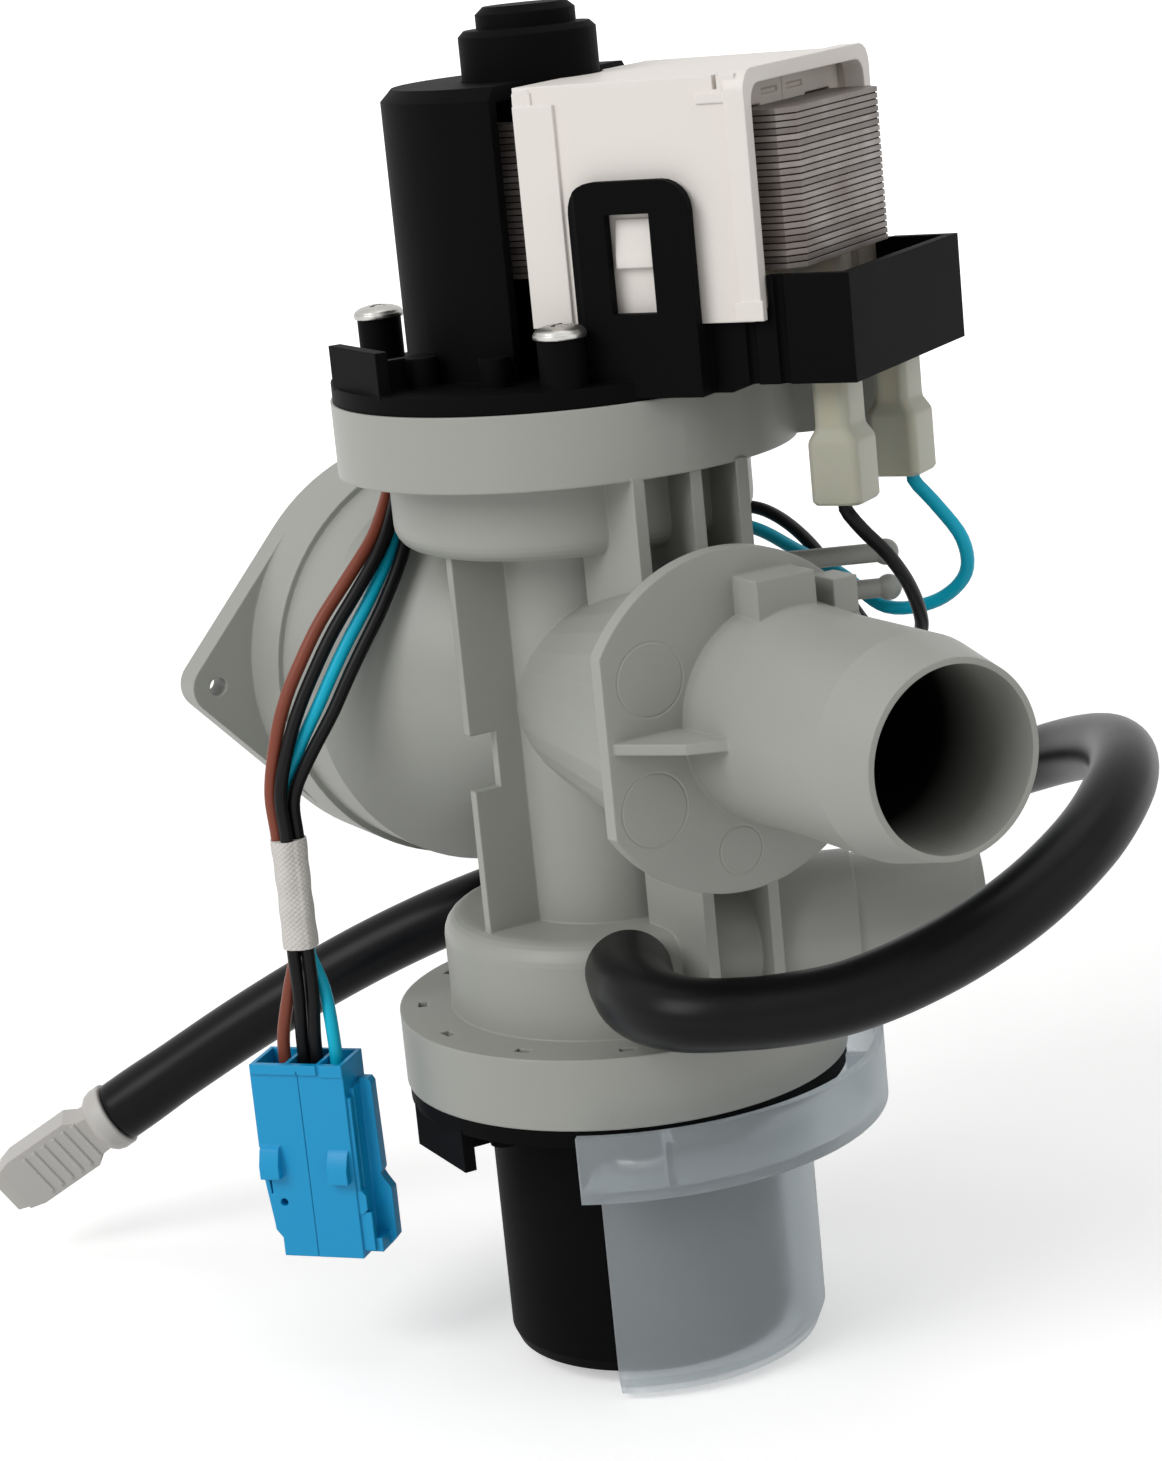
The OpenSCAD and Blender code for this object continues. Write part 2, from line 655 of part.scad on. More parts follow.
// Holes for the screws, with room for their heads and a driver over each boss
module screw_holes(top_z)
    at_screws() {
        translate([0, 0, -cut - seat_bore_h]) cylinder(r = shank_r + 0.1, h = top_z + seat_bore_h + 2 * cut);
        translate([0, 0, top_z]) cylinder(r = head_r + face_gap, h = clip_h - top_z);
    }
module groove_cut()
    translate([0, 0, -spigot_ring_h / 2 - seal_ring_cord - 0.05])
        difference() {
            cylinder(r = seat_bore_r + cut, h = 2 * seal_ring_cord + 0.1);
            translate([0, 0, -cut]) cylinder(r = seal_ring_r - seal_ring_cord,
                h = 2 * seal_ring_cord + 2 * cut + 0.1);
        }
module can_space(top_z) {
    translate([0, 0, -seat_bore_h - cut]) cylinder(r = holder_r + 0.1, h = seat_bore_h + cut + plug_in_h);
    translate([0, 0, -cut]) cylinder(r = can_bore_r, h = top_z + cut);
    translate([0, 0, top_z - lap]) cylinder(r = grommet_r, h = rear_bush_h + lap + 0.5);
    translate([0, 0, top_z + rear_bush_h]) cylinder(r = shaft_r + 1, h = 2.5);
}
module can_body() {
    cylinder(r = can_r, h = can_h - 1);
    translate([0, 0, can_h - 1]) cylinder(r1 = can_r, r2 = can_r - 1, h = 1);
    translate([0, 0, can_h - lap]) cylinder(r = dome_r, h = dome_h + lap - 1.2);
    translate([0, 0, can_h + dome_h - 1.2]) cylinder(r1 = dome_r, r2 = dome_r - 1.4, h = 1.2);
}
shroud_open_x = 5.5;
module shroud_body()
    difference() {
        union() {
            cylinder(r = shroud_r, h = shroud_h - 2, $fn = 96);
            translate([0, 0, shroud_h - 2]) cylinder(r1 = shroud_r, r2 = shroud_r - 2, h = 2, $fn = 96);
        }
        translate([0, 0, plate_t]) cylinder(r = shroud_r - shroud_wall, h = shroud_h - plate_t - 2.6,
            $fn = 96);
        translate([1.5, 0, shroud_h - 4]) cylinder(r = can_r + 1.6, h = 6);
        block([shroud_open_x, -shroud_r - cut, plate_t], [shroud_r + cut, shroud_r + cut, shroud_h + cut]);
    }
trough_start = 9;
trough_end = 44;
trough_floor_z = 12;
tray_start = 40;
tray_floor_t = 2.2;
tray_z = 1.7;
tray_wall = 1.8;
module trough_body()
    difference() {
        union() {
            block([trough_start, -tray_half_w, 0.5], [trough_end, tray_half_w, trough_h]);
            block([tray_start, -tray_half_w, tray_z], [tray_reach, tray_half_w, tray_h]);
        }
        block([trough_start - cut, -cover_box_half_w - 1, trough_floor_z],
            [cover_box_reach + 0.3, cover_box_half_w + 1, tray_h + cut]);
        block([trough_start - cut, -tray_half_w + 3, plate_t],
            [trough_end, tray_half_w - 3, trough_floor_z - 2]);
        block([cover_box_reach - 1, -tray_half_w + tray_wall, tray_z + tray_floor_t + 4],
            [tray_reach - tray_wall, tray_half_w - tray_wall, tray_h + cut]);
        for (s = [-1, 1])
            translate([tab_u, s * tab_v, 0]) cube([1.2, 6.8, 30], center = true);
        for (s = [-1, 1], u = [tray_start + 8, tray_start + 13.5])
            translate([u, s * tray_half_w, 0]) cylinder(r = 0.9, h = 60, center = true);
    }
clip_u = 29.7;
clip_v = cover_box_half_w + face_gap;
clip_round = 5;
module coil_clip()
    difference() {
        union() {
            translate([clip_u, clip_v + clip_t, 0]) rotate([90, 0, 0]) linear_extrude(clip_t)
                polygon(concat(
                    [[-clip_w / 2, 0.5], [clip_w / 2, 0.5]],
                    [for (a = [0 : 15 : 90])
                        [clip_w / 2 - clip_round + clip_round * cos(a),
                            clip_h - clip_round + clip_round * sin(a)]],
                    [for (a = [90 : 15 : 180])
                        [-clip_w / 2 + clip_round + clip_round * cos(a),
                            clip_h - clip_round + clip_round * sin(a)]]
                ));
            block([clip_u - clip_w / 2, tray_half_w - lap, 0.5],
                [clip_u + clip_w / 2, clip_v + lap, trough_floor_z - 0.4]);
        }
        block([clip_u - clip_window_w / 2, clip_v - 3, trough_h - 3],
            [clip_u + clip_window_w / 2, clip_v + clip_t + cut, clip_h - 5.3]);
    }
tab_u = 57.5;
tab_v = 12.3;
module drain_motor_housing()
    color(motor_black)
        on_drain()
            difference() {
                union() {
                    motor_plate(boss_h);
                    rotate([0, 0, drain_turn]) {
                        can_body();
                        shroud_body();
                        trough_body();
                        coil_clip();
                        mirror([0, 1, 0]) coil_clip();
                    }
                    for (turn = [-92, 30, 148]) edge_tab(turn, shroud_r - 3);
                    plate_studs([-80, -50, 160]);
                }
                can_space(pocket_z);
                groove_cut();
                screw_holes(boss_h);
            }

core_gap = 0.5;
module drain_core()
    color(steel_grey)
        on_drain_turned() translate([0, 0, core_z])
            difference() {
                linear_extrude(core_h)
                    polygon([
                        [-arm_tip, core_half_w], [-arm_tip, -core_half_w],
                        [yoke_reach - yoke_chamfer, -core_half_w], [yoke_reach, -core_half_w + yoke_chamfer],
                        [yoke_reach, core_half_w - yoke_chamfer], [yoke_reach - yoke_chamfer, core_half_w]
                    ]);
                block([-arm_tip - cut, -core_half_w + arm_w, -cut],
                    [yoke_reach - yoke_len, core_half_w - arm_w, core_h + cut]);
                translate([0, 0, -cut]) cylinder(r = can_r + core_gap, h = core_h + 2 * cut);
            }
frame_lap = 0.4;
module cover_window(s)
    block([clip_u - 3.4, s > 0 ? cover_box_half_w - 0.1 : -cover_box_half_w - 1.4, trough_h + 4.2],
        [clip_u + 3.4, s > 0 ? cover_box_half_w + 1.4 : -cover_box_half_w + 0.1, clip_h - 6.2]);
module drain_coil_cover()
    color(cover_white)
        on_drain_turned() {
            difference() {
                block([cover_box_reach - cover_box_len, -cover_box_half_w, trough_floor_z],
                    [cover_box_reach, cover_box_half_w, cover_box_h]);
                block([cover_box_reach - cover_box_len + cover_box_wall,
                    -cover_box_half_w + cover_box_wall, trough_floor_z - cut],
                    [cover_box_reach + cut, cover_box_half_w - cover_box_wall, cover_box_h - cover_box_wall]);
                for (s = [-1, 1])
                    translate([cover_box_reach - cover_box_len, s * (core_half_w - arm_w / 2),
                        core_z + core_h / 2])
                        cube([2 * cover_box_wall + 2, arm_w + frame_lap, core_h + frame_lap], center = true);
                cylinder(r = can_r + core_gap, h = cover_box_h + cut);
            }
            for (s = [-1, 1]) cover_window(s);
        }
bobbin_start = cover_box_reach - cover_box_len + cover_box_wall + 2;
bobbin_end = yoke_reach - yoke_len - 0.4;
bobbin_wall = 1;
bobbin_flange = 1.2;
coil_top = cover_box_h - cover_box_wall - 0.8;
coil_bottom = trough_floor_z + 1;
coil_out = cover_box_half_w - cover_box_wall - 0.5;
coil_in = 3.6;
module arm_block(grow, low, high)
    block([low, core_half_w - arm_w - grow, core_z - grow],
        [high, core_half_w + grow, core_z + core_h + grow]);
module both_arms() {
    children();
    mirror([0, 1, 0]) children();
}
module bobbin()
    difference() {
        union() {
            arm_block(bobbin_wall + 0.1, bobbin_start, bobbin_end);
            for (u = [bobbin_start, bobbin_end - bobbin_flange])
                block([u, coil_in - 0.4, coil_bottom - 0.4],
                    [u + bobbin_flange, coil_out + 0.4, coil_top + 0.4]);
        }
        arm_block(0.1, bobbin_start - cut, bobbin_end + cut);
        cylinder(r = can_r + core_gap, h = cover_box_h);
    }
module drain_bobbins()
    color(nylon) on_drain_turned() both_arms() bobbin();
module drain_windings()
    color(copper)
        on_drain_turned() both_arms()
            difference() {
                block([bobbin_start + bobbin_flange, coil_in, coil_bottom],
                    [bobbin_end - bobbin_flange, coil_out, coil_top]);
                arm_block(bobbin_wall + 0.1, bobbin_start, bobbin_end);
                cylinder(r = can_r + core_gap, h = cover_box_h);
            }
tab_w = 6.3;
tab_t = 0.8;
tab_low = -8;
module drain_terminals()
    color(brass)
        on_drain_turned()
            for (s = [-1, 1])
                translate([0, s * tab_v, 0]) {
                    block([tab_u - tab_t / 2, -tab_w / 2, tab_low], [tab_u + tab_t / 2, tab_w / 2, 13.5]);
                    block([bobbin_end, -tab_w / 2, 12.7], [tab_u, tab_w / 2, 13.5]);
                }
sleeve_low = -19.5;
sleeve_top = 1.5;
bulge_h = 10.4;
bulge_w = 9.6;
bulge_t = 8.8;
sleeve_neck_w = 8.4;
sleeve_neck_t = 6.2;
sleeve_taper = 2.2;
// Insulating sleeve over a tab, with its wide end at the bottom
module sleeve()
    difference() {
        union() {
            translate([-bulge_t / 2, -bulge_w / 2, sleeve_low]) cube([bulge_t, bulge_w, bulge_h]);
            intersection() {
                translate([0, bulge_w, sleeve_low]) rotate([90, 0, 0]) linear_extrude(2 * bulge_w)
                    polygon([[-bulge_t / 2, bulge_h - lap], [bulge_t / 2, bulge_h - lap],
                        [bulge_t / 2, bulge_h],
                        [sleeve_neck_t / 2, bulge_h + sleeve_taper],
                            [sleeve_neck_t / 2, sleeve_top - sleeve_low],
                        [-sleeve_neck_t / 2, sleeve_top - sleeve_low],
                            [-sleeve_neck_t / 2, bulge_h + sleeve_taper], [-bulge_t / 2, bulge_h]]);
                translate([-bulge_t, 0, sleeve_low]) rotate([90, 0, 90]) linear_extrude(2 * bulge_t)
                    polygon([[-bulge_w / 2, bulge_h - lap], [bulge_w / 2, bulge_h - lap],
                        [bulge_w / 2, bulge_h],
                        [sleeve_neck_w / 2, bulge_h + sleeve_taper],
                            [sleeve_neck_w / 2, sleeve_top - sleeve_low],
                        [-sleeve_neck_w / 2, sleeve_top - sleeve_low],
                            [-sleeve_neck_w / 2, bulge_h + sleeve_taper], [-bulge_w / 2, bulge_h]]);
            }
        }
        block([-receptacle_t / 2 - 0.1, -receptacle_w / 2 - 0.1, sleeve_low + 2],
            [receptacle_t / 2 + 0.1, receptacle_w / 2 + 0.1, sleeve_top + cut]);
    }
receptacle_w = 7.2;
receptacle_t = 2.6;
module sleeve_black_wire() color(nylon) on_drain_turned() translate([tab_u, -tab_v, 0]) sleeve();
module sleeve_blue_wire() color(nylon) on_drain_turned() translate([tab_u, tab_v, 0]) sleeve();
module receptacle()
    difference() {
        block([-receptacle_t / 2, -receptacle_w / 2, sleeve_low + 2],
            [receptacle_t / 2, receptacle_w / 2, sleeve_top - 1]);
        block([-tab_t / 2 - 0.02, -tab_w / 2 - 0.02, tab_low - 0.5],
            [tab_t / 2 + 0.02, tab_w / 2 + 0.02, sleeve_top + cut]);
    }
module tab_receptacles()
    color(brass)
        on_drain_turned()
            for (s = [-1, 1]) translate([tab_u, s * tab_v, 0]) receptacle();

// Pieces that both motors share, on their own seat
module bearing_holder()
    difference() {
        union() {
            cylinder(r = holder_r, h = plug_in_h);
            cylinder(r = can_bore_r, h = can_mouth_h);
        }
        translate([0, 0, -cut]) cylinder(r = bush_r, h = can_mouth_h + 2 * cut);
    }
module front_bush()
    ring(bush_r, shaft_r + shaft_clear, can_mouth_h);
module rear_bush(top_z)
    translate([0, 0, top_z]) ring(bush_r, shaft_r + shaft_clear, rear_bush_h);
module rear_grommet(top_z)
    translate([0, 0, top_z]) ring(grommet_r, bush_r, rear_bush_h);
module face_seal()
    translate([0, 0, -spigot_ring_h / 2]) rotate_extrude($fn = 96)
        translate([seal_ring_r, 0]) circle(r = seal_ring_cord, $fn = 24);
screw_reach = 7;
module pan_screw(top_z)
    difference() {
        union() {
            translate([0, 0, top_z]) cylinder(r = head_r, h = head_h * 0.45);
            translate([0, 0, top_z + head_h * 0.45])
                cylinder(r1 = head_r, r2 = head_r * 0.62, h = head_h * 0.55);
            translate([0, 0, -screw_reach]) cylinder(r = shank_r, h = screw_reach + top_z + lap);
        }
        for (a = [0, 90])
            rotate([0, 0, a]) translate([0, 0, top_z + head_h]) cube([4.4, 0.9, 2.6], center = true);
    }
module magnet(low_z, length) translate([0, 0, low_z]) ring(magnet_r, shaft_r, length);
shaft_low = -19;
module shaft(top_z) translate([0, 0, shaft_low])
    cylinder(r = shaft_r, h = top_z + rear_bush_h - 0.5 - shaft_low);
disc_z = -6.6;
disc_t = 1.8;
dog_h = 6;
impeller_gap = 0.35;
module sector(r_in, r_out, h)
    rotate([0, 0, -lug_angle / 2]) rotate_extrude(angle = lug_angle) translate([r_in, 0])
        square([r_out - r_in, h]);
module drive_dog()
    translate([0, 0, disc_z - dog_h]) {
        ring(3.1, shaft_r, dog_h + 1.6);
        sector(2.6, pocket_r - impeller_gap, dog_h - impeller_gap);
    }
clip_ring_t = 0.8;
module impeller(vanes)
    translate([0, 0, disc_z - disc_t]) {
        difference() {
            union() {
                cylinder(r = impeller_r, h = disc_t, $fn = 96);
                translate([0, 0, -vane_h]) cylinder(r = hub_r, h = vane_h + disc_t);
                for (i = [0 : vanes - 1])
                    rotate([0, 0, i * 360 / vanes])
                        block([hub_r - 1, -vane_t / 2, -vane_h], [impeller_r - 0.5, vane_t / 2, lap]);
            }
            translate([0, 0, disc_t - dog_h - impeller_gap])
                cylinder(r = pocket_r, h = dog_h + impeller_gap + cut);
            translate([0, 0, -vane_h - cut]) cylinder(r = shaft_r + shaft_clear, h = vane_h + 2 * cut);
        }
        rotate([0, 0, 180]) translate([0, 0, disc_t - dog_h - impeller_gap])
            sector(3.1 + impeller_gap, pocket_r + 0.2, dog_h - impeller_gap);
    }
module impeller_clip()
    translate([0, 0, disc_z - disc_t - vane_h - impeller_gap - clip_ring_t]) ring(4, shaft_r, clip_ring_t);

module drain_bearing_holder() color(nylon) on_drain() bearing_holder();
module drain_front_bush() color(steel_grey) on_drain() front_bush();
module drain_rear_bush() color(steel_grey) on_drain() rear_bush(pocket_z);
module drain_rear_grommet() color(rubber_black) on_drain() rear_grommet(pocket_z);
module drain_face_seal() color(rubber_black) on_drain() face_seal();
module drain_screws() color(zinc) on_drain() at_screws() pan_screw(boss_h);
module drain_magnet() color(steel_grey) on_drain() magnet(can_mouth_h + 3, magnet_len);
module drain_shaft() color(zinc) on_drain() shaft(pocket_z);
module drain_drive_dog() color(nylon) on_drain() drive_dog();
module drain_impeller() color(cover_white) on_drain() impeller(drain_vanes);
module drain_impeller_clip() color(zinc) on_drain() impeller_clip();

// Circulation motor
circ_pocket_z = circ_can_h - rear_bush_h - 4;
terminal_turn = 165;
terminal_reach = 50;
terminal_half_w = 11.5;
circ_tab_r = 44;
circ_tab_v = 6;
module circ_motor_base()
    color(motor_black)
        on_circ()
            difference() {
                union() {
                    motor_plate(circ_boss_h);
                    edge_tab(-92, cup_r + face_gap);
                    plate_studs([-80, 120]);
                    cylinder(r = can_r, h = circ_can_h);
                    rotate([0, 0, terminal_turn]) block([cup_r + 0.6, -terminal_half_w, plate_t - lap],
                        [terminal_reach, terminal_half_w, 12]);
                }
                can_space(circ_pocket_z);
                groove_cut();
                screw_holes(circ_boss_h);
                rotate([0, 0, terminal_turn])
                    for (s = [-1, 1])
                        translate([circ_tab_r, s * circ_tab_v, 0]) cube([1.2, 6.8, 16], center = true);
            }
module circ_motor_cup()
    color(motor_black)
        on_circ()
            rotate_extrude($fn = 96)
                polygon([
                    [0, cup_h], [cup_r - 3, cup_h], [cup_r - 0.9, cup_h - 0.9], [cup_r, cup_h - 3],
                    [cup_r, plate_t], [cup_r - cup_wall, plate_t], [cup_r - cup_wall, cup_h - cup_wall],
                        [0, cup_h - cup_wall]
                ]);
core_r = cup_r - cup_wall - 0.1;
yoke_w = 3.4;
pole_w = 5;
module circ_core()
    color(steel_grey)
        on_circ() translate([0, 0, ring_core_z])
            difference() {
                union() {
                    ring(core_r, core_r - yoke_w, ring_core_h);
                    for (i = [0 : pole_count - 1])
                        rotate([0, 0, i * 360 / pole_count])
                            block([can_r, -pole_w / 2, 0], [core_r - yoke_w + lap, pole_w / 2, ring_core_h]);
                }
                translate([0, 0, -cut]) cylinder(r = can_r + core_gap, h = ring_core_h + 2 * cut);
            }
coil_wrap = 1.6;
module circ_windings()
    color(copper)
        on_circ()
            for (i = [0 : pole_count - 1])
                rotate([0, 0, i * 360 / pole_count])
                    difference() {
                        block([can_r + 2.4, -pole_w / 2 - coil_wrap, ring_core_z - coil_wrap],
                            [core_r - yoke_w - 0.6, pole_w / 2 + coil_wrap,
                                ring_core_z + ring_core_h + coil_wrap]);
                        block([can_r, -pole_w / 2 - 0.1, ring_core_z - 0.1],
                            [core_r, pole_w / 2 + 0.1, ring_core_z + ring_core_h + 0.1]);
                    }
circ_tab_low = -10;
module at_circ_tabs()
    on_circ() rotate([0, 0, terminal_turn])
        for (s = [-1, 1]) translate([circ_tab_r, s * circ_tab_v, 0]) children();
module circ_terminals()
    color(brass)
        at_circ_tabs() block([-tab_t / 2, -tab_w / 2, circ_tab_low], [tab_t / 2, tab_w / 2, 7.5]);
circ_sleeve_w = 9.2;
circ_sleeve_t = 6.4;
circ_sleeve_low = -21;
circ_sleeve_top = 2.2;
module circ_sleeves()
    color(nylon)
        at_circ_tabs()
            difference() {
                block([-circ_sleeve_t / 2, -circ_sleeve_w / 2, circ_sleeve_low],
                    [circ_sleeve_t / 2, circ_sleeve_w / 2, circ_sleeve_top]);
                block([-tab_t / 2 - 0.1, -tab_w / 2 - 0.1, circ_tab_low - 1],
                    [tab_t / 2 + 0.1, tab_w / 2 + 0.1, circ_sleeve_top + cut]);
            }
module circ_bearing_holder() color(nylon) on_circ() bearing_holder();
module circ_front_bush() color(steel_grey) on_circ() front_bush();
module circ_rear_bush() color(steel_grey) on_circ() rear_bush(circ_pocket_z);
module circ_rear_grommet() color(rubber_black) on_circ() rear_grommet(circ_pocket_z);
module circ_face_seal() color(rubber_black) on_circ() face_seal();
module circ_screws() color(zinc) on_circ() at_screws() pan_screw(circ_boss_h);
module circ_magnet() color(steel_grey) on_circ() magnet(can_mouth_h + 2, circ_magnet_len);
module circ_shaft() color(zinc) on_circ() shaft(circ_pocket_z);
module circ_drive_dog() color(nylon) on_circ() drive_dog();
module circ_impeller() color(cover_white) on_circ() impeller(circ_vanes);
module circ_impeller_clip() color(zinc) on_circ() impeller_clip();

// Half-round drip cover under the circulation motor
drip_floor_z = cup_h + drip_floor_gap;
drip_low_z = drip_floor_z + drip_wall;
module half_turned() rotate([0, 0, drip_turn]) rotate_extrude(angle = 180, $fn = 96) children();
drip_rib_turns = [20, 90, 160];
module drip_cover()
    color(milky)
        on_circ() {
            half_turned()
                polygon([
                    [drip_rim_r - drip_wall, -drip_lap], [drip_rim_r, -drip_lap],
                        [drip_rim_r, drip_rim_h - drip_lap],
                    [drip_skirt_r, drip_rim_h - drip_lap], [drip_skirt_r, drip_low_z - drip_round],
                    [drip_skirt_r - drip_round * 0.3, drip_low_z - drip_round * 0.3],
                        [drip_skirt_r - drip_round, drip_low_z],
                    [0.5, drip_low_z], [0.5, drip_floor_z],
                    [drip_skirt_r - drip_round, drip_floor_z],
                        [drip_skirt_r - drip_wall - 0.3 * (drip_round - drip_wall),
                        drip_floor_z - 0.3 * (drip_round - drip_wall)],
                    [drip_skirt_r - drip_wall, drip_low_z - drip_round],
                        [drip_skirt_r - drip_wall, drip_rim_h - drip_lap - drip_wall],
                    [drip_rim_r - drip_wall, drip_rim_h - drip_lap - drip_wall]
                ]);
            for (a = drip_rib_turns)
                rotate([0, 0, drip_turn + a])
                    block([plate_r + face_gap, -0.8, plate_t * 0.4],
                        [drip_rim_r - drip_wall + lap, 0.8, drip_rim_h - drip_lap - lap]);
        }

// Hose, its elbow and its stopper
elbow_route = [
    [92.1, -13.3, -43.5], [98.4, -16.3, -43.5], [105, -19, -43.5], [112, -20, -43.5],
    [118.5, -18.5, -43.5], [123, -15, -43.5], [126, -11, -43.5]
];
hose_route = [
    [126.12, -10.84, -43.5], [127.2, -9.4, -43.5], [135.1, 2.7, -42], [141.7, 17.2, -37.1],
        [144.8, 32.1, -30.6], [142.6, 47, -24.1],
    [134.2, 60.7, -19.9], [122, 71.9, -19.3], [108.1, 80.7, -21], [93.2, 87.2, -24.4], [77.8, 91.3, -29],
    [62.2, 91.8, -34.5], [47.4, 86.7, -39.9], [35.3, 76.1, -43.7], [26.2, 62.4, -45.8], [19, 47.5, -47.2],
    [12.4, 32.3, -48.9], [5.7, 17.4, -51.6], [-1.8, 3.2, -55.9], [-9.8, -10.2, -61.6], [-18.1, -22.9, -68.5],
    [-26.3, -35.1, -76.2], [-34.3, -47, -84.5], [-42, -59, -93]
];
module hose_elbow()
    color(rubber_black)
        difference() {
            tube(elbow_route, elbow_r, 12);
            nipple_place() translate([circ_neck_r, 0, 0]) rod_x(nipple_r, nipple_end - circ_neck_r + 0.5);
        }
hose_end = hose_route[len(hose_route) - 1];
hose_out = unit(hose_end - hose_route[len(hose_route) - 2]);
// Turns a piece so that its Z runs along the hose's free end
module at_hose_end()
    translate(hose_end) rotate([0, acos(hose_out.z), atan2(hose_out.y, hose_out.x)]) children();
module drain_hose()
    color(rubber_black)
        difference() {
            tube(hose_route, hose_r, 12);
            at_hose_end() translate([0, 0, -stem_len - 2]) cylinder(r = stem_r + face_gap, h = stem_len + 4);
        }
collar_h = 5;
collar_r = 6.8;
handle_len = 27;
handle_w = 12;
handle_t = 6;
module hose_stopper()
    color(cover_white)
        at_hose_end() translate([0, 0, 0.2]) {
            translate([0, 0, -stem_len]) cylinder(r = stem_r, h = stem_len + lap);
            cylinder(r = collar_r, h = collar_h);
            translate([-handle_t / 2 + 0.8, -handle_w / 2 + 2, collar_h - lap])
                cube([handle_t - 1.6, handle_w - 4, 5]);
            difference() {
                translate([0, 0, collar_h + 3]) rotate([90, 0, 90]) translate([0, 0, -handle_t / 2])
                    linear_extrude(handle_t)
                    polygon([[-handle_w / 2 + 2, 0], [handle_w / 2 - 2, 0], [handle_w / 2, 3],
                        [handle_w / 2, handle_len - 9],
                        [handle_w / 2 - 2.5, handle_len - 6], [-handle_w / 2 + 2.5, handle_len - 6],
                            [-handle_w / 2, handle_len - 9], [-handle_w / 2, 3]]);
                for (i = [0 : 5], s = [-1, 1])
                    translate([s * handle_t / 2, 0, collar_h + 7 + i * 2.2])
                        cube([0.9, handle_w - 3, 0.9], center = true);
            }
        }

// Wires: each route is a list of points chosen along the wire
black_drain_route = [
    [120, 20, 35.6], [120, 20, 34.4], [122, 21.5, 31], [123.5, 25, 26.5], [122, 30, 20], [117.5, 35, 12],
    [110, 38, 7], [103, 39.5, 4.8], [95, 41, 5], [85, 42.5, 9.5], [72, 43.6, 18.5], [58, 43.5, 23.2],
        [42, 42, 23],
    [30, 38, 24], [24, 31.5, 31], [22.25, 24, 38], [22.25, 17, 42.25], [22.25, 12, 42.25]
];
blue_drain_route = [
    [108, 42, 35.6], [108, 42, 34.4], [110.5, 44, 30.5], [112.5, 48, 23.5], [110, 50, 17], [103, 48.5, 11.5],
    [94, 44, 10], [85, 41.3, 15], [72, 40.6, 18], [58, 40.6, 20.5], [42, 39.4, 20.2], [30, 35.4, 21.2],
    [23.8, 29, 28], [22.25, 21.5, 35], [22.25, 16, 39.7], [22.25, 12, 39.7]
];
brown_circ_route = [
    [20.6, 5.6, -47], [20.6, 5.6, -45.4], [19.8, 8, -42.6], [19.2, 13, -41.4], [19.6, 26, -40.6],
        [22, 41.5, -28],
    [22.5, 46, -4], [21.3, 42, 14], [19.7, 32, 28], [19.7, 22, 36.8], [19.7, 16, 39.7], [19.7, 12, 39.7]
];
black_circ_route = [
    [23.7, 17.2, -47], [23.7, 17.2, -45.4], [24, 19, -43], [24.6, 23.5, -41.6], [25.2, 31, -39.5],
        [27.5, 44.5, -27],
    [27.5, 48.5, -3], [25, 45, 15], [20.6, 34.5, 30], [19.7, 25, 39.2], [19.7, 17.5, 42.25], [19.7, 12, 42.25]
];
tie_start = [21, 12, 41];
tie_len = 5;
trunk_route = [
    [21, 7, 41], [21, 1, 41], [22, -6, 40.6], [26, -12, 39], [31, -16, 37.5], [36, -20, 33], [40.5, -25, 27],
    [42, -31, 20], [42, -37.5, 12], [41, -43, 3], [39.8, -47, -5], [38.6, -50, -14], [38.6, -50, -22]
];
tape_end = [38.6, -50, -42];
tape_r = 3.2;
plug_top = [38, -50.4, -63];
plug_turn = 61;
module wire_black_drain() color(rubber_black) tube(black_drain_route, wire_r);
module wire_blue_drain() color(wire_blue) tube(blue_drain_route, wire_r);
module wire_brown_circ() color(wire_brown) tube(brown_circ_route, wire_r, 8, [1, 0.1, 0.2]);
module wire_black_circ() color(rubber_black) tube(black_circ_route, wire_r, 8, [1, 0.1, 0.2]);
module harness_tie()
    color(rubber_black)
        translate(tie_start) rotate([90, 0, 0]) cylinder(r = 3.5, h = tie_len);
module harness_trunk() color(rubber_black) tube(trunk_route, trunk_r, 8, [1, 0.1, 0.2]);
module harness_tape()
    color(tape_grey) tube([trunk_route[len(trunk_route) - 1], tape_end], tape_r, 12, [1, 0.1, 0.2]);
function plug_at(w, t, z) = plug_top + [w * cos(plug_turn) + t * sin(plug_turn),
    w * sin(plug_turn) - t * cos(plug_turn), z];
function tape_foot(w, t) = tape_end + [w * cos(plug_turn) + t * sin(plug_turn),
    w * sin(plug_turn) - t * cos(plug_turn), 0];
pocket_depth = 6;
strand_off = 1.3;
plug_inner_w = plug_pitch / 4;
// One wire from the tape to the plug, which moves sideways before it comes into the plug's row
module tail(w_top, t_top, w_plug)
    tube([
            tape_foot(w_top, t_top), tape_foot(w_top, t_top) - [0, 0, 2],
            tape_foot(w_top + (w_plug - w_top) * 0.75, t_top * 0.85) - [0, 0, 8.5],
            plug_at(w_plug, 0, 3), plug_at(w_plug, 0, -pocket_depth)
        ], wire_r, 8, [1, 0.1, 0.2]);
module tail_brown() color(wire_brown) tail(-strand_off, -strand_off, -plug_pitch);
module tail_black_pair()
    color(rubber_black) {
        tail(-strand_off, strand_off, -plug_inner_w);
        tail(strand_off, strand_off, plug_inner_w);
    }
module tail_blue() color(wire_blue) tail(strand_off, -strand_off, plug_pitch);
module in_plug() translate(plug_top) rotate([0, 0, plug_turn]) children();
contact_z = -plug_h + 8;
